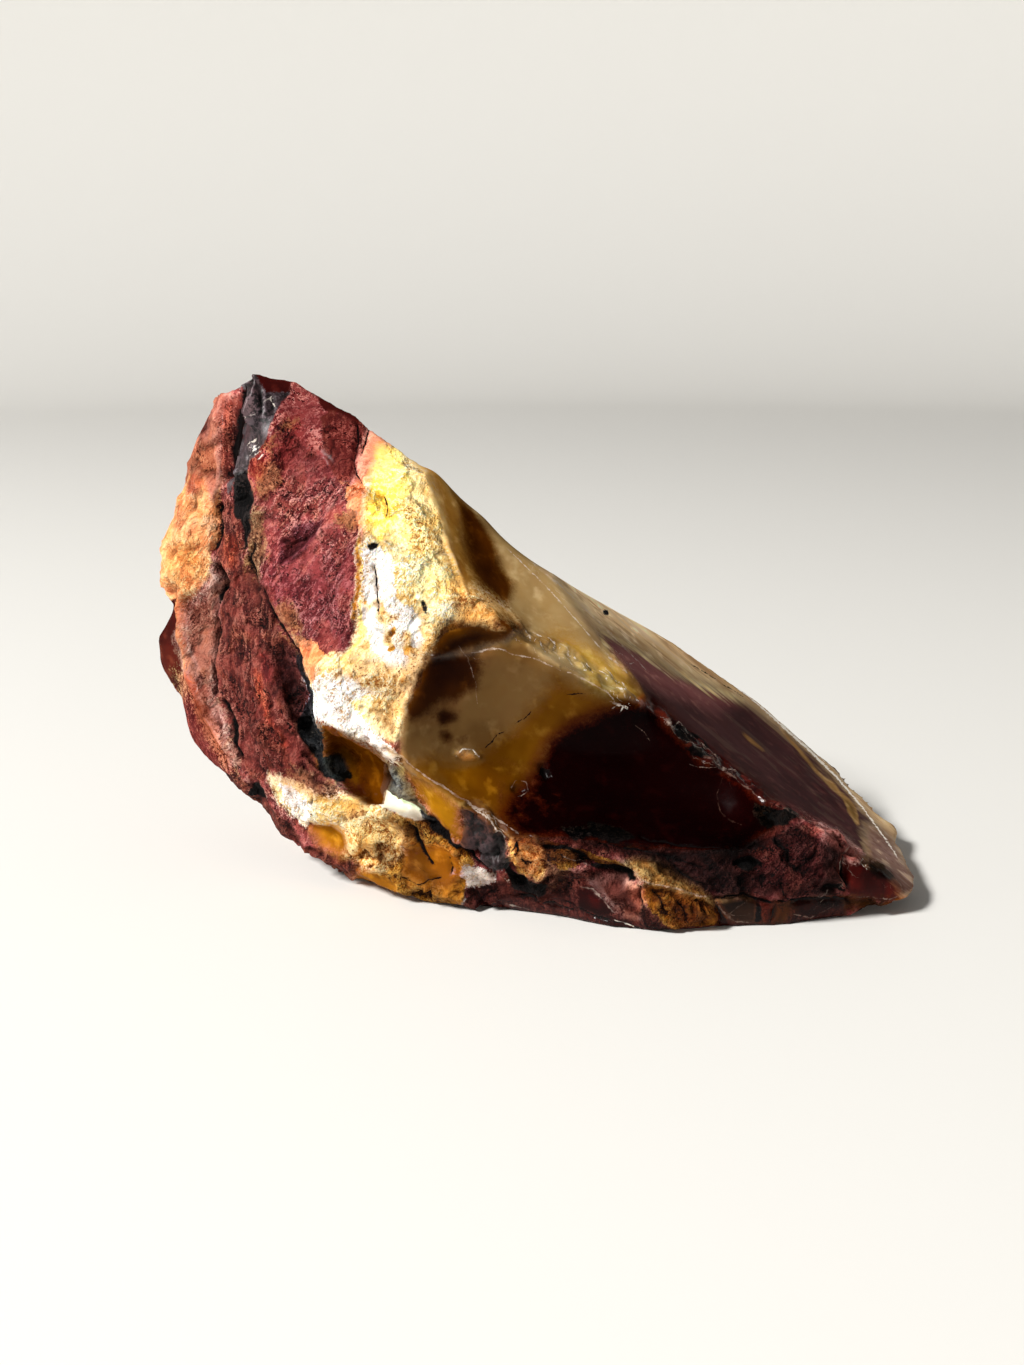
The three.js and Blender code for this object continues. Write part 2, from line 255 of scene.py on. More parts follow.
def depth_in(outline, wobble=1.0):
    """How far inside an outline each point is, in mm: negative outside, with a wandering border."""
    ring = corners_of(outline)
    places = spots + wobble * (broad * 3.2 + fine * 2.0)
    low, high = ring.min(axis=0) - 40, ring.max(axis=0) + 40
    near = ((places > low) & (places < high)).all(axis=1)
    found = np.full(COUNT, FAR_OUT)
    places = places[near]
    nearest = np.full(len(places), 1e9)
    inside = np.zeros(len(places), dtype=bool)
    for a, b in zip(ring, np.roll(ring, -1, axis=0)):
        nearest = np.minimum(nearest, to_line(a, b, places)[0])
        crosses = (a[1] > places[:, 1]) != (b[1] > places[:, 1])
        at = a[0] + (places[:, 1] - a[1]) * (b[0] - a[0]) / np.where(b[1] == a[1], 1e-9, b[1] - a[1])
        inside ^= crosses & (places[:, 0] < at)
    found[near] = np.where(inside, nearest, -nearest) / PIXELS_PER_MM
    return found


def depth_on(line, widths, wobble=0.6):
    """The same for a crack or streak drawn as a line of changing width in pixels."""
    route = corners_of(line)
    widths = np.broadcast_to(np.asarray(widths, dtype=float), len(route))
    places = spots + wobble * (broad * 2.0 + fine * 2.0)
    best = np.full(COUNT, FAR_OUT)
    for i in range(len(route) - 1):
        away, share = to_line(route[i], route[i + 1], places)
        half = (widths[i] * (1 - share) + widths[i + 1] * share) / 2
        best = np.maximum(best, (half - away) / PIXELS_PER_MM)
    return best


# %% [markdown]
# ## The layers
#
# Each kind of stone in the lump is a layer with its own name. For every layer the skin keeps one
# number, the distance in millimetres to the layer's border. The material later adds fine noise to
# that distance and cuts it off sharply, so the borders stay crisp however coarse the skin is.
# Painting a new area puts it over what was there, as a brush does.

# %% Layer books
LAYERS = [
    "maroon", "peach", "rust", "wine", "umber", "taupe", "iron", "cream", "yellow", "chalk", "ochre",
    "amber", "brown", "clear", "honey", "olive", "night", "mauve", "band", "pink", "golden", "streak",
    "glaze", "black",
]
UNDERLAP = 1.0
layer = {name: np.full(COUNT, FAR_OUT) for name in LAYERS}
layer["maroon"][:] = -FAR_OUT
tint = np.ones((COUNT, 3))


def paint(name, depth, only_front=False):
    """Puts a layer over all others wherever depth is above zero.

    The material lays the layers in the order of the list, so whichever of two neighbours comes first
    in it is let run on under the other. Without that, the maroon would show through wherever both
    borders wander apart.
    """
    if only_front:
        depth = np.minimum(depth, frontal)
    place = LAYERS.index(name)
    above = np.maximum.reduce([layer[other] for other in LAYERS[place + 1:]] or [np.full(COUNT, FAR_OUT)])
    for other in LAYERS[:place]:
        layer[other] = np.minimum(layer[other], UNDERLAP - depth)
    for other in LAYERS[place + 1:]:
        layer[other] = np.minimum(layer[other], -depth)
    layer[name] = np.maximum.reduce([layer[name], depth, np.minimum(depth + UNDERLAP, above)])


def shade(colour, depth, soft=1.0):
    """Multiplies the colour inside an outline, with a border that fades over soft millimetres."""
    share = np.clip(depth / soft + 0.5, 0, 1)[:, None]
    tint[:] *= 1 - share + share * np.array(colour)


def area(name, outline, wobble=1.0):
    """Paints a layer inside an outline."""
    paint(name, depth_in(outline, wobble))


def wash(outline, colour, soft=1.0, wobble=1.0):
    """Multiplies the colour inside an outline."""
    shade(colour, depth_in(outline, wobble), soft)


def patch(name, outline, colour, wobble=1.0, soft=1.0):
    """Paints an area and washes it with a colour."""
    area(name, outline, wobble)
    wash(outline, colour, soft)


print(len(LAYERS), "layers, the last on top")

# %% [markdown]
# Cracks, scratches and painted highlights such as glints and lit edges are thinner than the skin's net, so a
# distance kept at its points would break them up into dots. Only their lines are written down here. The
# material draws them later from the distance to the line itself, and the relief gives a crack its groove.

# %% Lines thinner than the net
cracks, hairs = [], []


def crack(line, widths, deep, wobble=0.5):
    """A black crack whose groove is deep mm deep; a wide one is also painted black."""
    if np.max(widths) >= 5:
        paint("black", depth_on(line, widths, wobble), True)
    cracks.append((line, np.asarray(widths, dtype=float), deep, wobble))


def hair(line, widths, tone, wobble=0.2):
    """A pale line: a scratch or tan streak of the stone, or a painted highlight, a glint or an edge lit by
    the window. The tone goes from 0, tan, to 1, white.
    """
    hairs.append((line, np.asarray(widths, dtype=float), tone, wobble))


def glint(line, tone, wobble):
    """A painted glint: a short pale line that is pointed at both ends."""
    hair(line, (0.4, 1.5, 0.4), tone, wobble)


# %% [markdown]
# ## The rind on the left
#
# The tall left end is the weathered rind: a peach bulge, a thin dark gap, a vein of iron ore that
# glitters, and a fibrous bed that bends round towards the foot. The colours go on from the outside
# in, broad areas first.

# %% Rind
area("peach", "130,370 222,384 232,400 226,440 221,480 217,520 214,548 208,575 196,600 183,640 170,640 "
              "120,620")
patch("pink", "180,380 222,384 230,396 224,440 220,484 214,500 204,480 190,474 160,486 "
              "150,440", (0.64, 0.40, 0.33), 1.2, 1.5)
wash("196,438 216,440 219,474 204,478 184,480 180,460", (0.72, 0.62, 0.44), 1.5)
wash("205,484 220,484 219,520 212,548 205,540 208,510", (0.92, 0.72, 0.70), 2.0)
wash("160,500 190,490 196,512 180,530 160,540 150,520", (1.0, 0.82, 0.78), 2.5)
wash("176,540 200,536 206,560 196,592 180,600 172,570", (1.0, 0.90, 0.66), 2.5)
area("umber", "192,436 203,408 208,397 224,395 214,402 208,414 203,432", 0.5)
wash("186,440 196,408 206,397 208,400 204,430 194,436", (0.5, 0.45, 0.45), 0.6)
patch("umber", "226,396 237,393 233,440 229,482 222,486 219,470 219,440 221,415", (1.5, 1.3, 1.3), 0.5)
wash("183,482 190,475 201,475 204,484 196,493 183,494", (0.62, 0.36, 0.40), 0.5, 1.2)
area("wine", "120,604 177,600 181,640 187,690 181,712 166,712 120,690", 0.6)
wash("120,640 166,644 182,650 187,690 181,712 166,712 120,700", (1.35, 1.55, 1.4), 0.6, 0.6)
area("pink", "178,640 186,604 200,588 216,560 219,600 213,640 212,690 222,720 240,760 226,766 206,740 "
             "192,704 183,672")
wash("186,606 204,596 216,570 216,640 211,690 216,712 204,716 193,680 186,640", (0.50, 0.31, 0.24), 1.5)
wash("182,672 192,680 206,710 226,742 240,760 226,766 206,740 190,706", (0.82, 0.60, 0.48), 1.5)
paint("peach", depth_on("182,592 182,640 187,678 200,706", (6, 4, 3, 1), 0.8))
shade((0.80, 0.58, 0.56), depth_on("182,592 182,640 187,678 200,706", (8, 7, 6, 3), 0.8), 0.6)
PLUM = "176,672 189,676 207,706 222,742 234,774 222,774 200,756 184,728 174,690"
patch("taupe", PLUM, (0.86, 0.60, 0.72), 0.5, 0.8)
area("umber", "160,712 188,694 204,738 226,768 248,784 270,806 288,824 300,846 348,856 350,880 280,880 "
              "200,800")
area("rust", "222,500 236,505 240,540 248,575 262,590 272,640 292,650 300,700 318,760 345,800 326,806 "
             "300,790 275,775 252,782 238,762 222,722 212,690 214,640 222,600 214,560")
wash("219,681 262,690 300,740 330,790 300,800 262,782 236,752", (0.78, 0.68, 0.72), 2.5)
shade((0.60, 0.50, 0.50), depth_on("226,590 232,640 240,690 262,740 290,780", 10, 1.6), 1.5)
wash("236,540 250,560 262,600 250,620 236,590", (0.70, 0.62, 0.62), 2.0)
shade((1.9, 1.35, 0.9), depth_on("256,672 262,700 270,722 282,744", (5, 8, 5, 3)), 0.8)
wash("222,533 238,533 238,566 228,566", (1.5, 1.15, 0.85), 0.8)
area("taupe", "252,503 261,520 264,560 256,580 247,570 246,540", 0.8)
area("umber", "244,560 262,586 276,600 282,640 270,650 258,610 246,584")
patch("taupe", "276,606 286,603 300,606 304,630 290,634 280,622", (1.05, 0.86, 0.80), 0.6, 0.5)
patch("taupe", "296,637 304,640 312,668 312,682 303,672", (1.2, 1.05, 1.0), 0.5, 0.5)
patch("taupe", "296,764 322,778 352,798 330,802 304,790 288,774", (0.82, 0.72, 0.80))
patch("umber", "262,640 284,638 300,664 308,700 302,724 286,716 272,694 "
               "262,664", (0.62, 0.50, 0.56), 0.8, 0.5)
wash("276,650 292,650 304,680 308,710 296,720 284,700", (0.6, 0.6, 0.7), 2.0)
patch("rust", "258,654 266,650 275,664 274,682 264,680", (1.35, 0.95, 1.0), 0.5, 0.5)
area("black", "292,652 300,662 308,686 315,716 325,752 334,776 322,776 306,748 298,726 302,700 296,672", 0.9)
wash("292,652 300,662 308,686 315,716 325,752 334,776 306,754 298,726", (2.4, 3.2, 3.4))
area("umber", "296,736 312,750 330,778 322,786 306,764")
area("iron", "240,376 252,366 262,370 268,386 286,388 294,392 280,402 272,420 264,440 256,455 250,468 "
             "238,478 226,494 227,484 231,468 236,440 239,410", 0.6)
area("black", "236,476 250,470 253,500 250,525 246,552 243,550 240,530 234,512 231,496", 1.4)
area("wine", "257,372 292,378 290,392 266,393", 0.4)
patch("rust", "251,458 263,455 267,470 257,481 250,473", (1.0, 0.75, 0.7), 0.8, 0.5)
wash("247,374 262,371 266,388 258,410 250,440 242,444 243,410", (1.15, 0.92, 0.90), 0.6)
area("rust", "229,512 240,520 244,560 238,574 230,548", 1.0)
area("taupe", "260,466 274,456 282,468 272,490 262,502 256,494", 0.8)
paint("taupe", depth_on("268,462 270,444 278,430 296,420", (3, 3, 2.5, 1), 1.0))
wash("256,440 300,412 300,440 284,490 256,506", (0.95, 0.62, 0.6), 2)
crack("239,386 236,415 233,445 230,474", (4, 6, 7, 5), 1.3, 0.3)
crack("219,505 218,522 213,548", (2.5, 3.5, 2.5), 0.9)
crack("217,568 220,584 217,600", (5, 8, 4), 1.4)
crack("216,602 214,630 213,660 214,692", (2, 3.4, 3.4, 2), 1.0)
crack("222,700 232,728 238,756", (2, 5, 2), 0.9)
crack("252,786 258,798", (7, 8), 0.9)
crack("262,590 274,612 288,640 296,656", (1, 2, 2.4, 1.6), 0.6)
crack("252,545 248,560 254,578", (1.2, 2.4, 1.2), 0.6)
wash("150,600 178,606 182,660 176,700 156,700 144,640", (0.66, 0.70, 0.62), 1.5)
# Painted glints on the facets of the iron vein.
for line in (
        "254,374 257,371 260,374", "270,398 273,403 275,408", "262,402 267,400 272,396",
        "248,446 252,441 256,437", "250,456 254,450 259,446", "256,462 260,456 265,452",
        "246,424 250,418 256,414"):
    glint(line, 0.7, 0.3)
wash("248,372 262,368 292,392 270,420 262,450 252,470 238,470 240,420", (0.86, 0.78, 0.82))
print("rind painted:", {name: int((layer[name] > 0).sum()) for name in ("peach", "rust", "iron", "black")})

# %% [markdown]
# ## The maroon face and the chalk bulge
#
# Right of the vein lies the sugary maroon face, with one smooth facet at its upper right. It turns
# orange, then bright yellow, and ends in the chalk bulge, whose lower point is a white wedge.

# %% Face and bulge
wash("262,560 300,566 326,548 360,540 358,600 350,652 304,640 262,600", (0.80, 0.66, 0.78), 3)
wash("300,490 330,470 366,484 362,530 330,540 286,575 262,580 262,540", (1.15, 1.12, 1.15), 3)
wash("270,395 322,395 330,470 300,490 270,470", (0.60, 0.48, 0.50), 4)
HOLLOW_SCAR = "278,564 278,540 296,524 326,519 318,536 304,552 290,564"
# Painted shade in the hollow scar, which the relief also sinks.
wash(HOLLOW_SCAR, (0.40, 0.30, 0.40), 0.3, 0.7)
patch("taupe", "338,516 352,513 370,520 372,533 354,528 340,526", (1.1, 0.85, 0.75))
SMOOTH_FACET = "321,416 336,414 358,418 368,424 364,445 355,460 360,484 342,484 330,470 323,450"
area("umber", SMOOTH_FACET, 0.5)
wash("321,416 336,414 358,418 368,424 364,445 355,460 360,484 342,484 330,470", (0.66, 0.45, 0.52))
area("wine", "318,394 334,396 372,418 360,421 336,414 322,409", 0.4)
area("pink", "352,480 358,460 362,444 368,430 374,424 388,434 396,444 384,458 375,466 370,500 364,540 "
             "358,532 360,500", 0.9)
wash("352,480 358,460 362,444 368,430 374,424 388,434 392,444 380,458 366,480 360,500", (1.05, 0.70, 0.46), 2)
patch("peach", "346,486 366,480 368,500 360,520 346,506", (0.92, 0.66, 0.66), 1.5, 1.5)
paint("ochre", depth_on("360,536 358,560 358,590 354,616", (4, 5, 4, 4), 1.2))
area("brown", "396,446 440,470 480,500 520,560 524,600 522,640 480,656 440,668 424,690 408,716 404,700 "
              "418,670 426,640 450,610 474,596 456,560 440,520 426,484")
area("cream", "364,484 372,466 396,444 412,456 430,472 448,500 460,530 472,560 486,588 488,596 472,614 "
              "440,622 424,650 418,682 408,712 398,744 372,734 344,706 306,684 316,662 350,645 359,600 "
              "363,550")
patch("golden", "398,500 414,500 432,526 434,548 416,552 402,538", (1.3, 1.35, 1.3), 2.5, 2)
area("golden", "356,648 380,658 404,658 420,636 430,640 420,664 410,700 380,696 340,688 332,670 350,654", 2.5)
area("golden", "452,588 470,584 486,592 500,604 508,614 492,622 470,618 456,606", 0.8)
area("yellow", "378,444 398,446 405,466 414,492 400,503 396,524 378,542 364,522 366,500 371,480 375,462", 0.8)
wash("374,488 394,486 398,520 382,532 370,516", (1.7, 1.35, 0.9), 2, 1.5)
paint("yellow", depth_on("361,545 362,600 358,640 340,660", (4, 4, 6, 6), 1.6))
area("chalk", "362,556 370,540 384,553 396,566 398,600 421,616 422,640 404,664 384,662 370,648 361,612")
area("chalk", "306,684 326,672 352,678 372,694 352,704 362,716 376,736 392,748 405,766 386,762 350,738 "
              "320,724 311,704")
patch("peach", "290,636 312,640 326,655 316,674 306,688 300,664", (1.0, 0.84, 0.80))
area("golden", "372,700 398,699 404,712 398,732 388,739 376,728", 0.7)
paint("cream", depth_on("352,704 366,700 384,697 400,698", (4, 4, 4, 3), 0.6))
wash("402,484 430,480 462,556 474,594 444,602 412,566 400,520", (1.0, 0.90, 0.72), 2)
crumbs = depth_in("366,596 424,590 432,640 418,690 372,690 356,640", 1.2)
paint("golden", np.minimum(crumbs, fine[:, 0] * 3 - 0.5), True)
paint("ochre", np.minimum(crumbs, fine[:, 1] * 3 - 1.5), True)
wedge_foot = depth_in("350,652 424,640 430,660 412,700 380,698 340,690")
shade((0.82, 0.82, 0.86), wedge_foot, 2)
paint("ochre", np.minimum(wedge_foot, fine[:, 1] * 3 - 1.3), True)
paint("black", depth_in("366,546 371,541 378,541 377,547 371,552", 0.5), True)
paint("black", depth_in("419,601 424,600 427,608 430,616 425,614 422,608", 0.5), True)
crack("373,566 375,584 378,602 378,616", (1.4, 1.8, 1.8, 1.2), 0.3, 1.0)
crack("357,421 359,440 353,458 355,470 362,482", (1.6, 2.4, 1.4, 1.8, 1.0), 0.5)
crack("369,426 366,440 362,450", (2.6, 2.2, 1.2), 0.5)
crack("386,494 387,506 386,518", (1.0, 1.6, 0.8), 0.3, 1.6)
wash("398,500 430,512 448,560 440,590 416,598 398,568", (1.1, 1.25, 1.4), 4)
print("bulge painted:", {name: int((layer[name] > 0).sum()) for name in ("cream", "chalk", "golden")})

# %% [markdown]
# ## The clear stone
#
# Right of the nose the silica is clear. It looks grey or beige where it is deep, olive and amber
# where iron has crept in, and nearly black where the maroon behind it takes all the light. These
# borders are soft, because they lie under the surface.

# %% Clear face, scoop and nose
SCOOP = ("402,767 399,748 406,712 419,683 430,656 470,648 522,641 560,664 600,684 652,706 690,745 735,775 "
         "765,799 774,826 740,843 680,843 620,839 571,836 511,838 467,808 437,789")
area("clear", "424,464 440,470 500,520 545,560 590,612 620,665 652,706 600,700 522,650 515,629 484,598 "
              "478,588 466,560 454,520 442,490", 0.3)
area("honey", "404,450 430,462 450,492 462,514 478,552 494,588 480,600 466,588 452,560 440,520 426,484 "
              "412,464", 0.5)
area("brown", "446,488 458,492 474,504 486,520 494,540 500,560 504,576 514,582 512,594 508,608 494,608 "
              "480,596 470,576 464,548 458,520 450,500", 0.9)
wash("458,506 474,508 486,524 494,544 500,564 510,582 508,600 494,602 480,588 470,566 "
     "464,540", (0.55, 0.40, 0.18))
area("clear", SCOOP, 0.4)
area("olive", "536,640 562,634 600,656 636,680 652,706 690,745 600,716 560,736 545,752 540,772 512,826 "
              "480,815 440,786 412,768 430,756 470,760 496,742 520,720 545,692 562,668")
area("brown", "412,672 436,656 474,652 484,664 476,686 456,700 436,704 425,716 408,722 404,706", 1.8)
area("amber", "436,766 480,764 512,770 524,778 508,800 516,830 480,814 445,790", 0.9)
night_in = depth_in("654,709 628,708 600,717 574,728 556,744 547,760 536,782 516,800 506,815 520,832 571,838 "
                    "620,844 680,848 740,848 776,826 768,799 737,775 692,745", 0.9)
paint("night", night_in)
shade((0.58, 0.32, 0.25), np.minimum(night_in + 1.5, -night_in), 1.6)
wash("448,772 480,768 506,778 498,798 500,815 478,808 455,790", (1.6, 1.65, 1.5), 2.5)
wash(SCOOP, (0.32, 0.26, 0.20), 1.5)
# The brown patch below the nose is darkened, partly its own dark brown and partly painted shade under the
# nose's overhang.
wash("416,666 434,656 470,654 476,674 452,690 424,702", (0.5, 0.42, 0.34), 2, 1.5)
wash("400,700 420,660 440,650 490,650 480,664 458,706 420,720", (1.3, 1.2, 1.3), 3)
wash("560,640 600,656 652,704 620,712 560,676 530,646", (1.3, 1.6, 2.4), 1.5)
area("golden", "456,590 472,584 488,594 502,606 514,620 500,626 476,622 456,616", 0.6)
wash("462,600 484,598 504,608 516,622 504,630 476,626 456,620", (0.84, 0.66, 0.46), 2)
area("brown", "500,612 510,618 526,627 518,634 500,630 490,624", 0.6)
# Painted shadow under the nose: brown stone, darkened far below its own tone where the nose overhangs it.
area("brown", "428,664 434,650 448,636 470,626 504,630 520,632 512,640 482,647 446,656", 0.8)
wash("428,664 434,650 448,636 470,628 500,632 512,636 482,645 446,655", (0.12, 0.075, 0.05), 2)
area("clear", "500,642 516,634 540,640 562,650 592,668 620,694 640,703 606,700 580,690 556,676 530,662 "
              "500,656 470,656", 0.6)
wash("500,642 516,634 540,640 562,650 592,668 610,696 580,690 556,676 530,662 500,656 "
     "470,656", (1.25, 1.2, 1.05))
area("honey", "592,660 618,680 636,700 620,704 600,698 588,680", 1.2)
wash("580,656 592,664 618,682 634,700 620,704 600,698 580,682", (0.62, 0.66, 0.60))
scoop_rim = depth_on("386,750 420,774 449,791 490,813 520,833", (2, 3, 3, 2.4, 1.5), 0.8)
paint("honey", scoop_rim)
shade((0.85, 0.78, 0.62), scoop_rim, 0.3)
stains = depth_in("436,708 462,716 466,742 448,744 436,728", 0.8)
stains = np.minimum(stains, fine[:, 0] * 2.4 - 0.3)
paint("brown", stains, True)
shade((0.55, 0.42, 0.35), stains, 0.4)
red_cloud = depth_in("504,778 540,768 560,800 548,822 512,818 498,800", 1.2)
paint("rust", np.minimum(red_cloud, fine[:, 1] * 2.4 - 0.6), True)
paint("cream", depth_in("454,752 462,748 472,750 478,758 466,758", 0.3), True)
for line in (
        "486,748 490,743 495,739 504,730", "512,724 518,719 524,717 530,711",
        "565,697 574,696 585,694 595,693"):
    crack(line, (0.6, 1.6, 1.2, 0.5), 0.03, 1.2)
hair("458,644 468,658 475,684 477,704", (0.6, 1.1, 1.1, 0.5), 0.3, 0.1)
hair("380,744 400,758 425,776 449,790 484,812 518,833", (1.2, 2.4, 2.4, 2.6, 2.0, 0.8), 0.42, 0.6)
# Painted glints along the crumpled ridge above the scoop.
for line in (
        "523,629 528,634 531,641", "533,631 538,635 543,637", "538,639 542,645 546,653",
        "546,638 553,643 558,650", "553,648 557,653 560,660", "560,645 567,652 571,659",
        "567,657 570,662 574,667", "574,655 580,662 585,671", "586,663 590,668 593,675",
        "598,669 604,675 607,681", "604,667 611,674 617,683", "613,684 620,689 626,698",
        "621,681 625,687 627,693", "629,692 633,696 637,702"):
    glint(line, 0.8, 0.5)
# Painted highlight: a lit crest along the lip under the nose.
hair("470,652 490,649 512,652 540,660 560,672", (1.0, 2.2, 1.4, 1.4, 0.8), 0.5, 1.4)
hair("566,674 586,678 606,690 618,704", (1.0, 2.0, 1.6, 1.0), 0.45, 1.2)
hair("612,708 618,704 624,706 620,712", (1.2, 1.4, 1.4, 1.0), 0.8)
hair("455,757 462,749 472,750 479,758", (0.8, 1.2, 1.2, 0.8), 0.8)
hair("511,788 516,780 526,782 528,792 518,797", (0.7, 1.0, 1.0, 1.0, 0.6), 0.3, 0.1)
hair("634,724 644,732 650,742", (0.5, 1.0, 0.4), 0.22, 0.1)
hair("508,546 556,596 596,640 632,680", (0.6, 1.4, 1.4, 0.6), 0.6, 0.1)
hair("524,548 570,594 610,634 650,674", (0.5, 1.4, 1.4, 0.4), 0.5, 0.1)
hair("470,586 486,592 500,604 508,614", (0.8, 1.4, 1.4, 0.8), 0.4, 0.8)
crack("543,768 547,777", (5, 4), 0.8, 0)
wash("454,752 462,748 472,750 478,758 466,758", (2.2, 1.8, 1.5), 0.2)
print("clear stone painted:", {name: int((layer[name] > 0).sum()) for name in ("clear", "olive", "night")})

# %% [markdown]
# ## The long slope
#
# The slope on the right shows the same beds edge on: a mauve bed with thin mustard streaks, between
# beige bands that follow the far edge.

# %% Slope
slope = depth_in("540,556 640,610 720,655 800,715 880,785 905,815 914,858 930,885 906,897 880,870 850,850 "
                 "825,830 800,814 765,799 735,775 690,745 652,706 620,665 585,620", 0.2)
mauve_bed = depth_in("600,630 621,641 639,649 671,670 700,684 726,692 752,704 780,726 816,758 842,784 "
                     "866,812 884,836 900,862 930,905 860,890 800,850 740,810 680,765 640,725 610,680", 0.3)
paint("mauve", np.minimum(slope, mauve_bed + UNDERLAP))
paint("band", np.minimum(slope, -mauve_bed))
# The mauve is lightened towards its upper end: partly paler stone and partly painted sheen, the pale backdrop
# mirrored on the slope.
paler_and_sheen_end = depth_in("590,610 650,640 740,700 720,712 660,690 620,666", 0.3)
shade((4.2, 5.2, 4.8), np.minimum(mauve_bed * 2 - 0.8, paler_and_sheen_end), 2)
slope_end = np.minimum(slope, depth_in("866,824 886,832 930,890 905,905 884,886 866,856", 0.4))
paint("band", slope_end)
shade((0.36, 0.27, 0.38), slope_end, 1.5)
wash("660,620 760,690 830,752 900,830 900,850 850,800 790,736 720,676 650,632", (1.1, 1.08, 1.05))
paint("streak", depth_on("779,727 793,743 808,762 821,777 832,786 842,797", (1, 3.4, 3, 3, 7, 2.4), 0.1))
paint("streak", depth_on("843,795 851,809 858,825", (3, 10, 3), 0.1))
shade((0.5, 0.48, 0.3), depth_on("845,799 851,809 856,820", (1.5, 5, 1.5), 0.1), 0.3)
paint("streak", depth_on("740,731 752,742 765,752", (1, 4.2, 1), 0.1))
shade((0.75, 0.66, 0.55), depth_on("740,731 752,742 765,752", (3, 7, 3), 0.1), 0.5)
wash("560,570 600,590 680,640 740,692 700,672 640,640 590,612", (1.35, 1.32, 1.3), wobble=0.3)
wash("552,560 600,588 646,614 656,636 636,638 600,622 570,596", (1.4, 1.5, 1.6), 2)
# Painted highlight: the bright line where the slope's far edge rolls over and catches the window.
hair("731,682 750,697 776,720 811,752 838,779 862,807 886,841 "
     "898,858", (0.8, 1.8, 2.8, 3.0, 2.6, 2.0, 1.4, 0.6), 0.9, 0.1)
hair("664,722 693,744 736,778 764,799 800,815 829,829", (0.6, 1.2, 1.4, 1.2, 1.2, 0.6), 0.22, 0.3)
crack("604,610 609,613", (3, 3), 0.2)
crack("690,664 704,671 716,679", (0.5, 1.6, 0.4), 0.05, 0.2)
crack("722,684 734,690 744,697", (0.4, 1.4, 0.4), 0.05, 0.2)
print("slope painted:", {name: int((layer[name] > 0).sum()) for name in ("band", "mauve")})

# %% [markdown]
# ## The foot band
#
# Along the foot the maroon comes back, broken up by mustard chunks, black cracks and a hollow under
# the thin lip of the chalk wedge, where a patch of porcelain white shows.

# %% Foot band, right
# The right foot band is darkened a great deal: partly its own dark maroon and partly painted shade on the
# side turned from the window.
wash("571,838 680,846 772,830 800,818 850,854 840,902 760,902 708,897 643,862 "
     "571,846", (0.055, 0.042, 0.042), 2)
wash("740,862 770,846 822,830 838,862 830,886 806,898 760,892", (2.5, 2.0, 2.1), 4, 2.0)
wash("752,838 775,834 780,850 764,864 752,858", (1.6, 1.5, 1.2), 2, 2.0)
patch("pink", "820,826 838,834 858,850 862,862 846,862 843,880 834,890 822,896 816,892 826,876 832,856 "
              "824,842", (0.42, 0.26, 0.25), 0.8, 0.8)
wash("846,846 862,852 864,862 846,864", (1.3, 1.25, 1.25), 0.4)
patch("black", "757,799 772,806 792,810 802,817 784,826 766,829 754,816", (0.6, 0.55, 0.4), 1.8)
area("black", "735,866 744,856 754,856 760,866 748,872", 1.2)
area("black", "586,822 620,826 636,836 612,842 590,838")
area("black", "560,828 580,826 592,834 576,842")
area("black", "672,722 700,736 716,756 706,762 684,748", 0.7)
wash("720,778 742,776 758,790 761,812 746,825 725,823 717,800", (1.7, 1.3, 1.4), 1.5)
chips = depth_on("640,700 664,716 690,742 735,774 766,800", (6, 14, 16, 14, 8), 1.2)
paint("wine", np.minimum(chips, fine[:, 0] * 2.4 + 0.3), True)
shade((0.55, 0.38, 0.42), chips, 0.5)
paint("rust", np.minimum(chips, fine[:, 1] * 2.4 - 0.9), True)
shade((2.4, 1.6, 1.1), depth_on("640,700 664,718", (8, 8), 1.0), 0.5)
patch("wine", "846,862 864,862 868,858 890,872 908,893 900,898 862,900 850,896 "
              "847,888", (0.62, 0.5, 0.5), 0.4, 0.5)
wash("868,861 890,874 892,880 878,881 869,872", (0.20, 0.24, 0.2), 0.3, 0.8)
wash("847,866 862,866 858,888 849,888", (1.5, 1.1, 1.0), 0.3, 0.3)
wash("886,884 892,880 904,892 898,896 884,895", (2.6, 1.7, 1.2), 0.6, 0.5)
area("brown", "808,897 845,897 905,896 918,902 904,914 860,912 820,908", 0.4)
wash("884,899 905,896 918,902 904,910 884,910", (2.3, 1.9, 1.7), 0.8)
wash("808,897 845,897 880,896 880,904 860,906 820,908", (0.5, 0.4, 0.4), 0.6)
area("band", "898,866 914,866 930,885 918,902 908,896", 0.4)
for line, widths, deep in (
        ("600,842 640,846 676,858 704,868", (1.2, 2.2, 1.6, 1), 0.6),
        ("640,834 680,842 720,846", (2, 3, 2), 0.6), ("736,862 748,860 762,866", (3, 6, 3), 1.0),
        ("776,838 786,850 790,862", (1.5, 2, 1.5), 0.6),
        ("716,898 744,896 756,901 776,902", (1.4, 2, 3, 2), 0.8),
        ("846,854 844,866 845,880 848,889", (1.4, 3.4, 3.4, 1), 1.0),
        ("780,884 783,894 790,900", (1, 1.6, 1), 0.5), ("668,858 684,876 706,886", (1, 1.6, 1), 0.5),
        ("826,888 838,886 846,892", (3, 6, 2), 0.8),
        ("776,900 800,902 836,900 850,904", (2, 2.4, 2.4, 1), 0.7),
        ("792,872 812,860 818,846", (0.8, 1.4, 0.8), 0.4)):
    crack(line, widths, deep, 0.9)
hair("723,777 717,796 720,812 730,822 744,826", (0.6, 1.4, 1.4, 1.0, 0.6), 0.1)
hair("660,716 672,726 680,722 690,738", (1.2, 1.8, 1.2, 1.4), 0.5, 1.2)
hair("700,744 712,752 720,764 734,772", (1.2, 1.8, 1.0, 1.4), 0.45, 1.2)
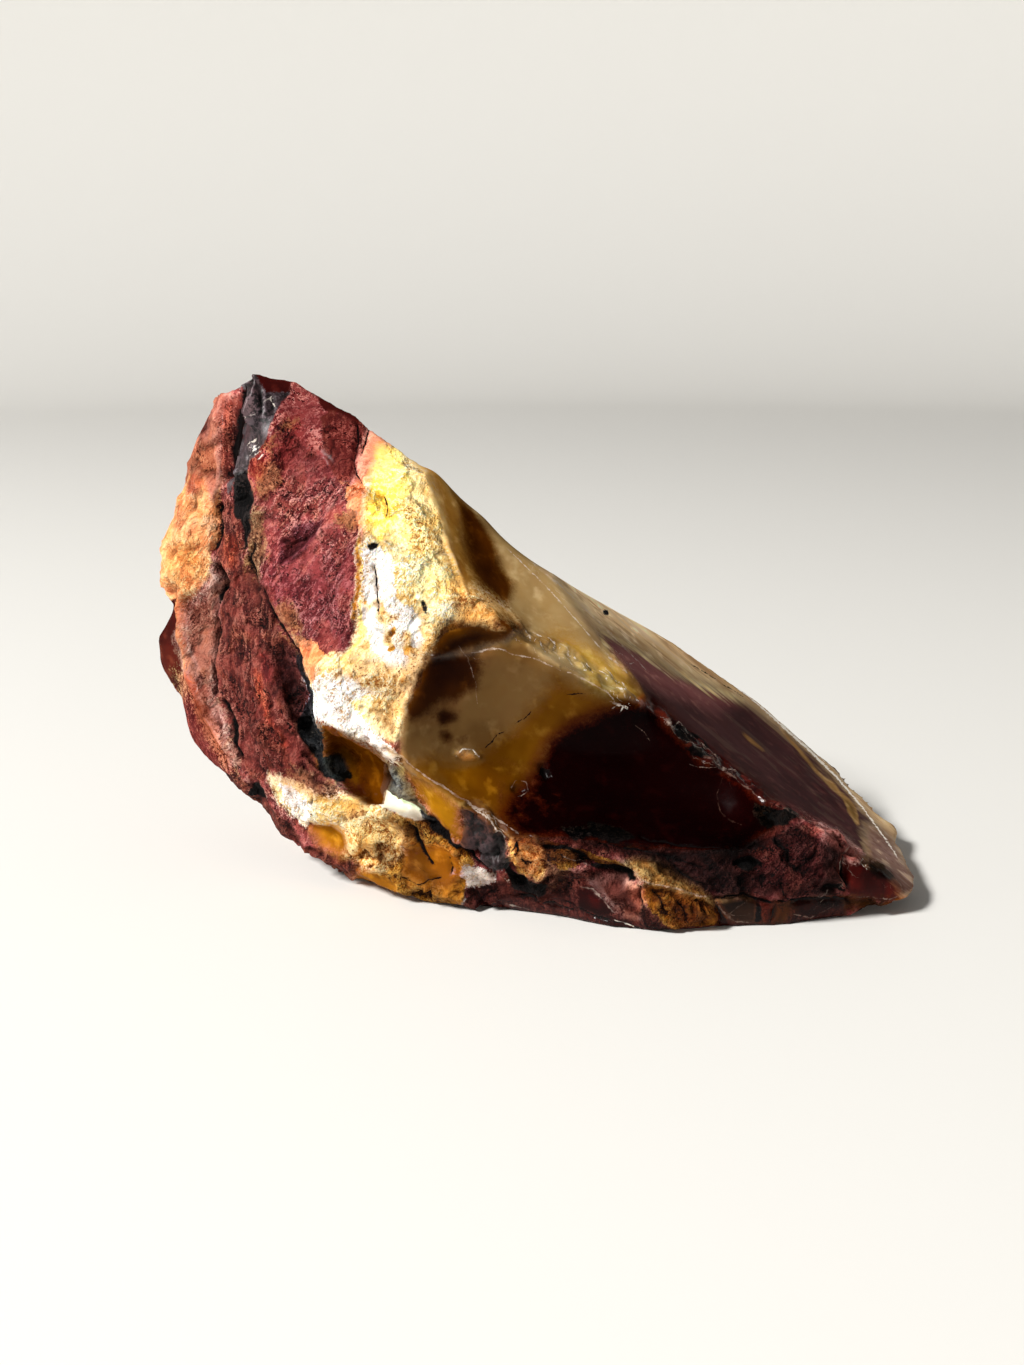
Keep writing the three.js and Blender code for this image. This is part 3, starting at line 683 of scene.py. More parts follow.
hair("690,764 704,768 716,766", (1.0, 1.4, 0.8), 0.3, 0.4)
# Painted glints on the tip's facets.
hair("863,858 864,865 867,869", (1.0, 1.8, 1.0), 0.8)
hair("845,857 843,868 844,880 840,888", (1.6, 2.4, 2.0, 1.0), 0.45, 0.6)
hair("810,900 820,897 830,890", (1.2, 2.2, 1.2), 0.4, 0.8)
hair("848,846 846,856 852,864 862,864", (1.4, 1.6, 1.6, 1.2), 0.32, 0.6)
hair("870,862 884,868 896,880 906,892", (0.6, 1.2, 1.6, 1.2), 0.2, 0.5)
hair("850,898 876,896 900,897", (0.6, 1.2, 0.8), 0.3)
print("right foot painted:", int((layer["pink"] > 0).sum()))

# %% Foot band, middle
LEDGE = "508,838 530,836 560,846 600,856 628,866 612,872 590,862 566,866 544,864 534,876 514,872"
patch("ochre", LEDGE, (0.15, 0.10, 0.11))
patch("golden", "510,840 530,840 541,850 540,872 524,874 512,862", (5.0, 4.4, 2.6), 1.2)
TAN_LEDGE = "622,864 632,858 650,857 666,864 704,893 714,902 690,893 664,884 640,876"
patch("golden", TAN_LEDGE, (0.52, 0.39, 0.24), 0.6, 0.6)
patch("umber", "436,912 470,892 500,880 560,868 600,876 610,902 642,918 650,945 540,930 "
               "430,920", (0.30, 0.22, 0.24), 1.0, 2)
patch("taupe", "541,861 560,866 566,874 556,884 544,878", (0.5, 0.36, 0.36), 1.2)
area("black", "488,851 500,850 510,862 506,872 492,868", 1.2)
area("black", "506,874 524,876 548,880 546,888 530,892 516,886", 1.2)
FACET = "460,810 474,808 494,824 506,846 506,862 494,872 478,852 462,842"
patch("iron", FACET, (0.50, 0.27, 0.26), 0.5, 0.6)
wash("478,846 500,840 508,856 500,872 488,866", (0.45, 0.6, 0.7))
hair("474,808 492,822 506,846", (1.0, 1.8, 1.4), 0.6, 0.5)
PINK_LUMP = "592,880 628,880 643,882 646,900 642,919 624,916 610,904 600,892"
patch("pink", PINK_LUMP, (0.16, 0.075, 0.065), 0.8, 1.4)
wash("628,881 643,882 646,900 638,908 632,896", (3.2, 3.2, 2.6), 0.8)
wash("616,906 640,908 640,926 622,920", (1.2, 0.9, 0.7), 0.8)
patch("wine", "578,886 592,888 604,900 614,913 600,916 580,908", (0.8, 0.75, 0.85), 0.5, 0.3)
wash("590,894 600,898 602,910 592,908", (2.2, 1.6, 1.4), 0.2, 0.3)
area("wine", "606,914 630,920 640,934 616,932 600,924", 0.6)
CHUNK = "644,877 664,884 690,893 712,900 721,906 721,924 700,926 676,926 662,920 650,908 642,894"
patch("ochre", CHUNK, (0.34, 0.26, 0.20), 0.6, 0.6)
wash("674,900 700,902 712,912 706,922 686,924 672,914", (0.5, 0.36, 0.36), 1.4, 2.0)
patch("umber", "641,902 652,908 662,920 676,927 668,934 640,932", (0.20, 0.14, 0.16), 0.8, 0.6)
area("umber", "714,900 760,903 842,900 848,915 822,940 720,940 717,922", 0.6)
wash("714,898 760,900 842,900 848,915 822,940 720,940 717,922", (0.20, 0.13, 0.14), 0.8)
patch("clear", "717,899 747,898 755,902 755,920 743,922 728,917 721,909", (0.22, 0.19, 0.20), 0.3, 0.4)
wash("728,899 747,899 730,913 724,905", (0.62, 0.6, 0.62), 0.2, 0.2)
wash("715,898 721,901 723,908 730,916 726,919 718,910", (4.4, 4.0, 3.6), 0.3, 0.3)
area("black", "755,903 761,904 762,920 756,922", 0.6)
wash("762,904 776,904 774,919 763,920", (1.4, 0.8, 0.7), 0.4)
patch("amber", "775,905 792,907 786,916 778,926 773,922", (0.78, 0.72, 0.5), 0.4, 0.4)
patch("wine", "798,901 838,903 826,908 811,919 800,914 792,908", (0.9, 0.8, 0.8), 0.3, 0.3)
for line, widths, deep in (
        ("544,846 560,847 576,851 588,858", (2, 4, 4, 2), 0.8), ("580,854 582,862 596,862", (4, 3, 1.4), 0.8),
        ("592,868 604,872 620,876 634,878", (4, 10, 9, 4), 1.2), ("500,866 510,874 524,880", (4, 6, 4), 1.0),
        ("641,882 640,896 644,906", (1, 1.6, 1), 0.6), ("650,886 660,898 666,914", (0.8, 1.2, 0.8), 0.4),
        ("676,898 684,908 688,920", (0.8, 1.4, 0.8), 0.4), ("694,898 702,910 704,922", (0.8, 1.4, 0.8), 0.4),
        ("715,901 719,911 726,920", (1.6, 2, 1.6), 0.7), ("776,904 774,914 770,922", (1, 1.6, 1), 0.6),
        ("566,902 590,916 610,926", (1.2, 2, 1), 0.6), ("520,896 548,904 572,912", (1.5, 2.4, 1.2), 0.7),
        ("511,850 515,846 517,852 514,856", (2, 3, 3, 2), 0.4),
        ("521,863 526,867 531,864", (1.4, 3, 1.4), 0.4), ("598,918 620,924 640,930", (1.4, 2, 1.4), 0.6)):
    crack(line, widths, deep, 0.9)
hair("581,885 592,888 603,898 609,906 615,913", (1.0, 1.8, 1.8, 1.8, 1.0), 0.4, 0.5)
hair("630,871 646,879 664,884 678,888 700,895 708,897", (0.8, 1.2, 2.4, 3.0, 2.4, 0.8), 0.4, 0.8)
hair("728,914 738,907 748,901", (1.0, 1.4, 0.8), 0.2)
hair("716,899 720,908 727,916 736,922 750,923", (1.4, 2.2, 2.6, 1.2, 0.8), 0.25, 0.4)
hair("791,913 800,915 811,919 822,911 834,904", (0.8, 1.4, 1.4, 1.2, 0.8), 0.25)
hair("540,902 556,904 570,910", (0.8, 1.4, 0.8), 0.6, 0.6)
hair("506,904 518,906 530,910", (1.6, 1.2, 1.4), 0.45, 0.8)
hair("614,920 624,924 634,929", (1.6, 2.0, 1.4), 0.7, 0.8)
hair("560,856 580,862 592,870", (0.8, 1.4, 0.8), 0.45, 0.4)
print("middle foot painted:", {name: int((layer[name] > 0).sum()) for name in ("ochre", "umber", "amber")})

# %% Foot band, left, and the recess
area("cream", "266,774 296,782 330,798 356,794 372,806 352,816 346,824 353,852 338,846 316,822 290,814 "
              "274,794")
area("chalk", "278,782 298,790 306,800 316,812 306,829 294,818 282,800", 0.6)
wash("300,784 330,798 356,794 372,806 352,816 330,812", (0.92, 0.74, 0.46), 1.5)
area("golden", "346,804 384,808 404,820 406,850 388,866 362,868 346,857", 1.2)
wash("350,826 384,818 404,830 402,858 372,870 346,857", (0.95, 0.88, 0.70), 2)
# The bottom of the golden lump is darkened to grey-brown: partly mottled stone and partly painted shade.
wash("358,842 384,838 404,848 402,860 380,864 360,856", (0.46, 0.40, 0.38), 1.2, 2.0)
PEBBLE = "308,825 330,821 346,832 353,849 341,857 322,847"
patch("amber", PEBBLE, (1.12, 1.0, 1.0), 0.6)
area("ochre", "388,815 420,811 446,838 464,846 477,862 470,872 464,894 440,906 400,900 372,892 362,880 "
              "382,868 402,858 406,834", 0.8)
wash("388,815 420,811 446,838 464,846 477,862 470,872 464,894 440,906 400,900 "
     "404,840", (0.42, 0.38, 0.36), 1.5)
wash("428,840 452,846 462,858 462,880 446,890 430,866", (2.3, 2.3, 1.6), 1.5)
patch("amber", "352,868 380,870 400,884 398,900 372,894 354,882", (0.9, 0.8, 0.6), 0.8)
patch("amber", "404,848 428,842 450,846 462,858 462,880 448,890 430,884 408,872", (0.80, 0.66, 1.3), 0.9)
patch("chalk", "466,862 480,870 498,882 484,890 468,888 458,876", (0.98, 0.86, 0.82), 0.8, 0.5)
area("brown", "318,724 350,738 386,762 385,800 366,806 348,792 326,768", 0.5)
area("amber", "324,728 350,740 384,762 384,804 368,804 360,780 344,758 326,744", 1.0)
# The recess under the chalk's lip is darkened: partly its own brown and partly painted shade cast by the lip.
wash("318,724 350,738 386,762 385,800 366,806 348,792 326,768", (0.40, 0.28, 0.18), 1.2)
area("black", "322,762 332,758 344,772 346,784 338,786 326,776", 1.6)
wash("322,760 336,756 352,774 352,786 340,790 326,776", (1.4, 2.0, 2.0), 0.5)
area("wine", "340,776 358,778 360,794 346,792", 0.8)
patch("iron", "386,762 403,768 416,792 427,815 410,806 394,796 381,786", (1.1, 1.5, 1.3), 0.5, 0.4)
patch("glaze", "377,788 392,792 410,800 425,815 420,821 398,814 384,811 "
               "374,800", (0.84, 0.82, 0.76), 0.4, 0.2)
area("amber", "406,768 440,788 462,807 458,824 464,843 446,838 430,815 418,795", 0.5)
for line, widths, deep in (
        ("418,810 432,827 446,838", (4, 11, 6), 1.4), ("446,838 462,845 476,858 494,878", (5, 4, 4, 3), 0.8),
        ("410,829 419,848 432,866", (3, 5, 2), 0.8), ("449,857 451,868 451,876", (0.8, 1.4, 0.8), 0.3),
        ("400,872 420,880 440,878", (1, 1.4, 1), 0.3)):
    crack(line, widths, deep, 0.8)
wash("410,848 440,838 470,850 466,880 440,894 412,888", (1.5, 1.6, 1.8), 1.5)
print("left foot painted:", {name: int((layer[name] > 0).sum()) for name in ("cream", "glaze")})

# %% [markdown]
# ## Where the stone is glassy
#
# Silica breaks like glass where it is pure, and like sugar or chalk where it is not. One number
# says how glassy each point is. It decides how smooth the skin becomes, and later how it shines.
# A second number says where the glassy stone is struck and sparkles: along the crumpled edges, in
# the ore, on the foot and on the back.

# %% Glass map
glass = np.maximum.reduce([
    slope,
    depth_in("402,452 440,470 500,520 545,560 590,612 620,665 652,706 690,745 735,775 760,799 730,826 "
             "680,834 620,834 571,832 511,836 467,808 437,789 402,767 399,748 406,712 421,684 430,650 "
             "446,632 470,626 504,630 486,600 468,590 454,560 442,520 428,482", 0.2),
    *[layer[name] for name in ("wine", "night", "clear", "olive", "amber", "honey", "streak", "glaze")],
    depth_in(SMOOTH_FACET, 0.5),
    depth_in(PLUM, 0.5),
    depth_in("714,900 760,903 842,900 848,915 822,940 720,940 717,922", 0.6),
    depth_in("436,912 500,898 560,896 606,904 642,918 650,945 540,930 430,920", 0.8),
    hidden * 6 - 4.2 + broad[:, 0] * 1.5 + (points[:, 2] - 22) * 0.12,
])
recess = depth_in("316,722 350,738 388,764 404,780 398,800 376,808 350,798 326,770", 0.8)
hackles = depth_on("432,656 470,652 500,644 518,630 560,650 592,668 620,692 640,704", 11, 0.8)
broken_edge = depth_on("650,704 690,742 735,774 766,800", 12, 0.8)
foot_shine = (1 - points[:, 2] / 8) * 0.3
sparkle = np.maximum.reduce([
    hackles, broken_edge * 0.5, layer["iron"], layer["glaze"], foot_shine, hidden * 6 - 3])
sparkle = np.clip(sparkle, 0.05, 1) * 0.8 * (1 - np.clip(recess * 3, 0, 0.9))
smooth_share = np.clip(averaged(np.clip(glass, -1, 1), 3) * 1.2 + 0.2, 0, 1)
print("glassy share of the skin:", round(float((glass > 0).mean()), 2))

# %% [markdown]
# ## Relief
#
# First the solid's facets are ironed out: strongly where the stone is glassy, lightly where it is
# rough. Ridges between two breaks stay sharp, because a point takes less part the sharper the skin
# bends there. Averaging also shrinks what stands out, so a few swells push the skin back to where
# the real stone's outline lies.

# %% Iron out the facets
def bend():
    """How sharply the skin bends at each point, from 0 on a flat to 1 on a ridge."""
    normals = averaged(read_normals(), 2)
    normals /= np.linalg.norm(normals, axis=1)[:, None]
    bent = 1 - (normals[edges[:, 0]] * normals[edges[:, 1]]).sum(axis=1)
    most = np.zeros(COUNT)
    np.maximum.at(most, edges[:, 0], bent)
    np.maximum.at(most, edges[:, 1], bent)
    return np.clip((most - 0.006) / 0.02, 0, 1)


points = averaged(points, 4, 0.6)
write_points(points)
ridge = np.clip(averaged(bend(), 1) * 1.3, 0, 1)
keep = np.clip(1 - ridge, 0.05, 1)
points = averaged(points, 60, smooth_share * keep * 0.9)
points = averaged(points, 10, (1 - smooth_share) * keep * 0.7)
knob = depth_on("450,478 489,512 530,550", 70, 0)
points = averaged(points, 70, np.clip(knob / 2, 0, 1))
print("ridge points:", int((ridge > 0.5).sum()))


# %% Swell the outline
def swell(place, reach, push):
    """Moves the skin near a place in the picture by some mm, fading out over its reach in pixels."""
    seen_at = in_picture(points) - place
    points[:] += np.exp(-((seen_at / reach) ** 2).sum(axis=1))[:, None] * push


swell((434, 488), (26, 24), (0, 0, 1.7))
swell((168, 556), (22, 34), (-0.8, 0, 0))
swell((170, 690), (18, 22), (0.7, 0, 0))
swell((164, 648), (16, 42), (-0.8, 0, 0))
print("box after the swells:", points.min(axis=0).round(1), points.max(axis=0).round(1))

# %% [markdown]
# The long slope is one flake scar, so it is as even as a sheet of blown glass. Averaging alone leaves
# it slightly quilted. A smooth sheet, a polynomial in two directions, is fitted to it, and the slope
# is moved onto that sheet. What stands off the sheet over a long way is kept, because that is the
# slope's own swell. At its far edge the skin is eased over, or it would meet the back in a saw edge.

# %% Slope on one sheet
skyline = depth_on("372,428 403,454 492,530 545,572 605,600 680,644 760,700 840,770 893,824 916,872 914,900",
                   (30, 30, 30, 30, 30, 30, 30, 44, 70, 50, 30), 0)
points = averaged(points, 150, np.clip(slope * 3 - 0.6, 0, 1) * np.clip(-skyline * 1.5, 0, 1))
points = averaged(points, 2, 0.35)

SLOPE_MIDDLE, SLOPE_REACH, DEGREE = (28, 5), 25, 4
across_slope = (points[:, :2] - SLOPE_MIDDLE) / SLOPE_REACH
powers = [(i, j) for i in range(DEGREE + 1) for j in range(DEGREE + 1 - i)]
terms = np.stack([across_slope[:, 0] ** i * across_slope[:, 1] ** j for i, j in powers], axis=1)
on_slope = (slope > 0) & (facing > 0.03)
sheet = terms @ np.linalg.lstsq(terms[on_slope], points[on_slope, 2], rcond=None)[0]
above_sheet = averaged(np.where(on_slope, points[:, 2] - sheet, 0), 60)
share = np.clip(np.minimum(slope * 4, (facing - 0.03) * 30), 0, 1)
stood_off = np.abs(points[on_slope, 2] - sheet[on_slope])
print("slope stood off its sheet by up to", round(float(stood_off.max()), 2), "mm")
move = share * (sheet + above_sheet - points[:, 2])
well_on = np.clip(averaged(share, 8) * 8 - 7, 0, 1)
points[:, 2] += well_on * move + (1 - well_on) * averaged(move, 14)
rim = np.clip(depth_on("836,766 866,796 893,824 912,860 914,900", 44, 0), 0, 1)
points = averaged(points, 12, rim)
write_points(points)
print("points eased over at the far edge:", int((rim > 0).sum()))

# %% [markdown]
# ## Each kind of stone breaks in its own way
#
# Broken jasper is a field of shallow bowls that meet in crests, because each flake leaves a hollow.
# Sugar grain and pits lie over them in the maroon and the chalk, fibres run down the rind and bend
# with it towards the foot, and the foot and the ore are blocky.

# %% The way the rind's fibres run
FIBRES = "240,383 233,445 222,500 216,560 218,600 216,650 224,700 242,745 266,776 304,812 348,842 400,866"


def along_and_across(line):
    """How far along a line in the picture each point lies, and how far to its right, in mm."""
    route = corners_of(line)
    nearest, along, across = np.full(COUNT, 1e9), np.zeros(COUNT), np.zeros(COUNT)
    start = 0.0
    for a, b in zip(route[:-1], route[1:]):
        away, share = to_line(a, b, spots)
        span = b - a
        side = np.sign(span[0] * (spots[:, 1] - a[1]) - span[1] * (spots[:, 0] - a[0]))
        closer = away < nearest
        nearest = np.where(closer, away, nearest)
        along = np.where(closer, start + share * np.linalg.norm(span), along)
        across = np.where(closer, -side * away, across)
        start += np.linalg.norm(span)
    return along / PIXELS_PER_MM, across / PIXELS_PER_MM


along, across = along_and_across(FIBRES)
rind_places = np.stack([across, points[:, 1] * 0.35, along * 0.22], axis=1)
GRAIN_TILT = math.radians(50)
rise, run = math.sin(GRAIN_TILT), math.cos(GRAIN_TILT)
slanted = np.stack([points[:, 0] * rise - points[:, 2] * run, points[:, 1],
                    points[:, 0] * run + points[:, 2] * rise], axis=1)
print("fibres run for", round(float(along.max())), "mm")

# %% Relief of each kind of stone
normals = read_normals()
inside = {name: np.clip(averaged(np.clip(layer[name], -0.6, 0.6), 1) / 0.5, 0, 1) for name in LAYERS}
rough_share = 1 - np.clip(averaged(np.clip(glass, -0.5, 0.5), 1) * 2, 0, 1)
low_band = np.clip((15 - points[:, 2]) / 4, 0, 1) * np.clip((points[:, 0] + 33) / 6, 0, 1)
blocky = np.clip(low_band + inside["ochre"] + inside["iron"], 0, 1)

wide_bowls, wide_chips = chipped(points + wander * 2, (6.0, 6.0, 4.6), 61)
small_bowls, small_chips = chipped(points + wander, (2.6, 2.6, 1.9), 62)
_, tiny_chips = chipped(points, (1.3, 1.3, 1.0), 65)
_, vein_chips = chipped(points, (1.7, 3.0, 4.6), 66)
dimples, _ = chipped(slanted, (2.2, 2.2, 4.6), 63)
sugar = 0.20 * rough(slanted, (0.8, 0.8, 2.0), 51) + 0.13 * rough(points, 0.9, 52)
lumps = 0.55 * rough(points, 4.6, 53)
pits = -0.6 * np.clip(rough(slanted, (1.2, 1.2, 2.2), 56) - 0.15, 0, 1)
fibres = 0.42 * rough(rind_places, 1.0, 57) + 0.24 * rough(rind_places, 0.45, 58)

relief = rough_share * (sugar + lumps + 0.9 * wide_bowls - 0.35)
relief += rough_share * inside["peach"] * (0.6 * dimples + 0.5 * pits)
fibrous = inside["rust"] + 0.7 * inside["umber"] * (1 - low_band)
relief += rough_share * fibrous * (fibres + 0.35 * small_chips)
relief += rough_share * blocky * (1.9 * wide_chips + 0.3 * small_bowls + 0.6 * small_chips)
crumbly = 0.7 * inside["cream"] + inside["golden"]
relief += rough_share * crumbly * 0.5 * (pits + 0.16 * rough(points, 0.9, 59))
relief += rough_share * inside["black"] * 0.7 * small_chips
tip = np.clip(depth_in("838,846 866,846 912,890 900,902 838,900") * 2, 0, 1)
tip_chips = 0.7 * tip * small_chips * np.clip(facing * 4, 0, 1)
glassy_relief = 0.05 * rough(points, 6.0, 60) + 0.25 * low_band * small_bowls + tip_chips
relief += (1 - rough_share) * glassy_relief
relief += inside["iron"] * (1.6 * vein_chips + 0.1 * tiny_chips) + np.clip(recess, 0, 1) * 0.6 * small_chips
relief -= ridge * averaged(rough_share, 4) * np.clip(rough(points, 1.6, 64), 0, 1) * 0.9
print("relief from", round(float(relief.min()), 2), "to", round(float(relief.max()), 2), "mm")

# %% [markdown]
# The largest forms of the relief have a place of their own: hollows with a clear rim, such as the
# recess under the chalk's lip, then the grooves of the cracks and the crests of struck edges. All of
# them fade out close to the foot plane, so the stone still stands flat, and towards the far edge.

# %% Hollows with a clear rim
def hollowed(outline, deep, rim):
    """A hollow deep mm deep with an edge rim mm wide."""
    return -deep * np.clip(np.minimum(depth_in(outline, 0.5), frontal) / rim, 0, 1)


hollows = [
    hollowed(HOLLOW_SCAR, 0.7, 1.3),
    hollowed("266,642 286,638 300,650 308,684 316,716 326,752 334,780 318,770 302,742 288,718 "
             "276,694", 1.9, 2.6),
    hollowed("316,726 350,740 386,764 402,782 386,790 384,806 366,806 346,792 330,774", 2.0, 0.9),
    hollowed("352,703 372,698 398,699 404,712 398,732 388,739 376,728 362,716", 0.9, 1.4),
    hollowed(PEBBLE, 0.9, 1.6),
    hollowed("210,560 222,566 226,590 218,604 211,590", 1.6, 0.8),
    hollowed("232,500 240,478 250,480 253,500 249,530 244,556 238,530", 0.9, 1.0),
]
bulb = hollowed("720,780 742,774 760,790 762,814 746,826 725,823 717,800", -0.2, 2.6)
print("deepest hollow", round(float(min(h.min() for h in hollows)), 2), "mm")

# %% Gaps, cracks and pits
def groove(line, widths, deep, wobble=0.5):
    """A furrow as deep as deep mm in its middle."""
    inside_it = depth_on(line, widths, wobble)
    half = np.max(widths) / 2 / PIXELS_PER_MM
    return -deep * np.clip(np.minimum(inside_it, frontal) / half + 0.35, 0, 1)


furrows = [groove(line, widths * 1.6 + 1.5, deep, wobble) for line, widths, deep, wobble in cracks]
furrows.append(groove("516,789 521,791", (9, 9), 0.6, 0))
splinters = np.clip(np.maximum(hackles, broken_edge) + 0.4, 0, 1) * np.clip(facing * 6, 0, 1)
relief += splinters * (small_bowls * 1.1 + tiny_chips * 0.5 - 0.4)
crests = [
    groove("334,522 318,536 300,551 280,566", (6, 8, 8, 5), -0.5, 0.4),
    groove("223,396 218,415 216,448 219,482", (5, 7, 7, 5), -0.5, 0.5),
    groove("182,592 182,640 187,678 206,718 228,754", (5, 7, 7, 6, 4), -0.6, 0.5),
    groove("259,656 266,652 274,666 272,680", (4, 6, 6, 4), -0.5, 0),
    groove("703,664 726,676 760,702 800,736 832,770 866,806 892,842 "
           "898,858", (4, 6, 6, 7, 7, 7, 7, 4), -0.16, 0),
    groove("510,872 532,880 560,866 600,870", (5, 7, 7, 5), -0.6, 0.8),
    groove("640,880 664,884 700,896 716,904", (5, 7, 6, 4), -0.6, 0.8),
    groove("455,757 462,749 472,750 479,758", (3, 4, 4, 3), -0.25, 0),
    groove("396,446 425,482 440,520 455,560 470,598", (5, 6, 6, 6, 5), -0.3, 0.8),
]
relief += np.maximum.reduce(crests)
relief += np.minimum.reduce(furrows) + np.minimum(np.minimum.reduce(hollows), 0) + bulb
relief *= np.clip((points[:, 2] - 0.25) / 0.8, 0, 1) * (1 - 0.85 * np.clip(skyline / 1.5, 0, 1))
points = averaged(points + normals * relief[:, None], 2, rim)
low, high = np.array(cad_box[0]) * 1000, np.array(cad_box[1]) * 1000
SPARE_LOW, SPARE_HIGH = (0.4, 0.4, 0), (1.6, 0.4, 0.4)
points = np.clip(points, low - SPARE_LOW, high + SPARE_HIGH)
write_points(points)
# The local height: how far the skin stands above or sinks below its neighbours. The material uses it for
# painted highlights on crests and painted shade in hollows.
height = np.clip((relief - averaged(relief, 14)) / 0.45, -1, 1)
print("box after relief:", points.min(axis=0).round(1), points.max(axis=0).round(1))

# %% [markdown]
# ## Hand the books to the material
#
# What was worked out in arrays is stored on the skin's points as named attributes, which a material
# can read. The last step thins the net to what its shape needs, and takes out any face that the
# thinning spoiled.

# %% Distance to many thin lines
LINE_SHARE = 0.36
LINE_REACH = 14


def ruled(lines):
    """Signed distance to the nearest of many lines, its half width there in mm, and its tone.

    The distance keeps its sign across a line, so it passes through nought evenly, and the material
    can draw a line far thinner than the net. The half width turns negative past a line's ends and
    away from it.
    """
    nearest = np.full(COUNT, 1e9)
    found = np.zeros((COUNT, 3))
    for line, widths, tone, wobble in lines:
        route = corners_of(line)
        places = spots + wobble * (broad * 2.0 + fine * 2.0)
        for i in range(len(route) - 1):
            away, share = to_line(route[i], route[i + 1], places)
            span = route[i + 1] - route[i]
            length = np.linalg.norm(span)
            past = ((places - route[i]) @ span) / length
            before_start = -past if i == 0 else 0
            after_end = past - length if i == len(route) - 2 else 0
            half = (widths[i] * (1 - share) + widths[i + 1] * share) * LINE_SHARE
            half = half - np.maximum(before_start, after_end)
            side = np.sign(span[0] * (places[:, 1] - route[i][1]) - span[1] * (places[:, 0] - route[i][0]))
            in_mm = (side * away / PIXELS_PER_MM, half / PIXELS_PER_MM, np.full(COUNT, tone))
            values = np.stack(in_mm, axis=1)
            found = np.where((away < nearest)[:, None], values, found)
            nearest = np.minimum(nearest, away)
    found[:, 1] = np.minimum(np.where(nearest < LINE_REACH, found[:, 1], -1), frontal - 0.4)
    return found


dark_lines = ruled([(line, widths, 0, wobble) for line, widths, _, wobble in cracks])
pale_lines = ruled(hairs)
print(len(cracks), "cracks and", len(hairs), "pale lines")

# %% Store the books on the skin
for name, found in (("dark_lines", dark_lines), ("pale_lines", pale_lines)):
    skin.attributes.new(name, "FLOAT_VECTOR", "POINT").data.foreach_set("vector", found.ravel())
for name in LAYERS:
    skin.attributes.new(f"layer_{name}", "FLOAT", "POINT").data.foreach_set("value", layer[name])
for name, found in (("glassy", glass), ("height", height), ("sparkle", sparkle)):
    skin.attributes.new(name, "FLOAT", "POINT").data.foreach_set("value", found)
rgba = np.concatenate([tint, np.ones((COUNT, 1))], axis=1)
skin.attributes.new("tint", "FLOAT_COLOR", "POINT").data.foreach_set("color", rgba.ravel())
print(len(skin.attributes), "attributes")

# %% Thin the net
KEPT_POINTS = 95000
bpy.ops.object.select_all(action="DESELECT")
stone.select_set(True)
bpy.context.view_layer.objects.active = stone
bpy.ops.object.modifier_add(type="DECIMATE")
stone.modifiers[-1].ratio = KEPT_POINTS / COUNT
bpy.ops.object.modifier_apply(modifier=stone.modifiers[-1].name)
bpy.ops.object.shade_smooth()
print("spoiled faces taken out:", skin.validate())
print("kept", len(skin.polygons), "faces,", sum(len(f.vertices) - 2 for f in skin.polygons), "triangles")

# %% [markdown]
# ## Writing a material as sums
#
# A stone's material has hundreds of nodes, too many to place by hand. One small class wraps a
# socket, so that a mask can be written as an ordinary sum, and one method makes any node.

# %% Socket arithmetic
class Wire:
    """One output socket; arithmetic on it adds Math nodes."""

    def __init__(self, book, socket):
        self.book, self.socket = book, socket

    def _math(self, operation, *values):
        return self.book.node("ShaderNodeMath", {"operation": operation}, values)

    def __add__(self, other):
        return self._math("ADD", self, other)

    def __radd__(self, other):
        return self._math("ADD", other, self)

    def __sub__(self, other):
        return self._math("SUBTRACT", self, other)

    def __rsub__(self, other):
        return self._math("SUBTRACT", other, self)

    def __mul__(self, other):
        return self._math("MULTIPLY", self, other)

    def __rmul__(self, other):
        return self._math("MULTIPLY", other, self)

    def most(self, other):
        return self._math("MAXIMUM", self, other)

    def above(self, low, high):
        """0 below low, 1 above high, and a soft step between."""
        settings = {"interpolation_type": "SMOOTHSTEP"}
        values = {"Value": self, "From Min": low, "From Max": high}
        return self.book.node("ShaderNodeMapRange", settings, values)


class Book:
    """Makes the nodes of one material."""

    def __init__(self, material):
        self.tree = material.node_tree
        self.tree.nodes.clear()

    def node(self, kind, settings=(), values=(), output=0):
        made = self.tree.nodes.new(kind)
        for name, value in dict(settings).items():
            setattr(made, name, value)
        pairs = values.items() if isinstance(values, dict) else enumerate(values)
        for key, value in pairs:
            if isinstance(value, Wire):
                self.tree.links.new(value.socket, made.inputs[key])
            elif value is not None:
                made.inputs[key].default_value = value
        return Wire(self, made.outputs[output]) if made.outputs else made

    def mix(self, share, first, second, how="MIX"):
        settings = {"data_type": "RGBA", "blend_type": how, "clamp_factor": True}
        as_colour = [c if isinstance(c, Wire) else (*c, 1.0) for c in (first, second)]
        return self.node("ShaderNodeMix", settings, {0: share, 6: as_colour[0], 7: as_colour[1]}, 2)


def seen(red, green, blue):
    """A colour as the eye reads it, 0 to 255, turned into light."""
    parts = [part / 255 for part in (red, green, blue)]
    return tuple(((v + 0.055) / 1.055) ** 2.4 if v > 0.04 else v / 12.92 for v in parts)


# %% [markdown]
# ## The stone's material
#
# Every layer has a few tones that noise mixes, then the layers are cut by their borders and laid
# over each other. The noises come first, because many tones share them: clouds, grain, dust, streaks
# that follow the slant of the beds, and veined cells for hair cracks.

# %% Patterns shared by all layers
material = bpy.data.materials.new("mookaite")
material.use_nodes = True
book = Book(material)
coordinates = book.node("ShaderNodeTexCoord", output=3)
mm = book.node("ShaderNodeVectorMath", {"operation": "SCALE"}, {0: coordinates, "Scale": 1000.0})


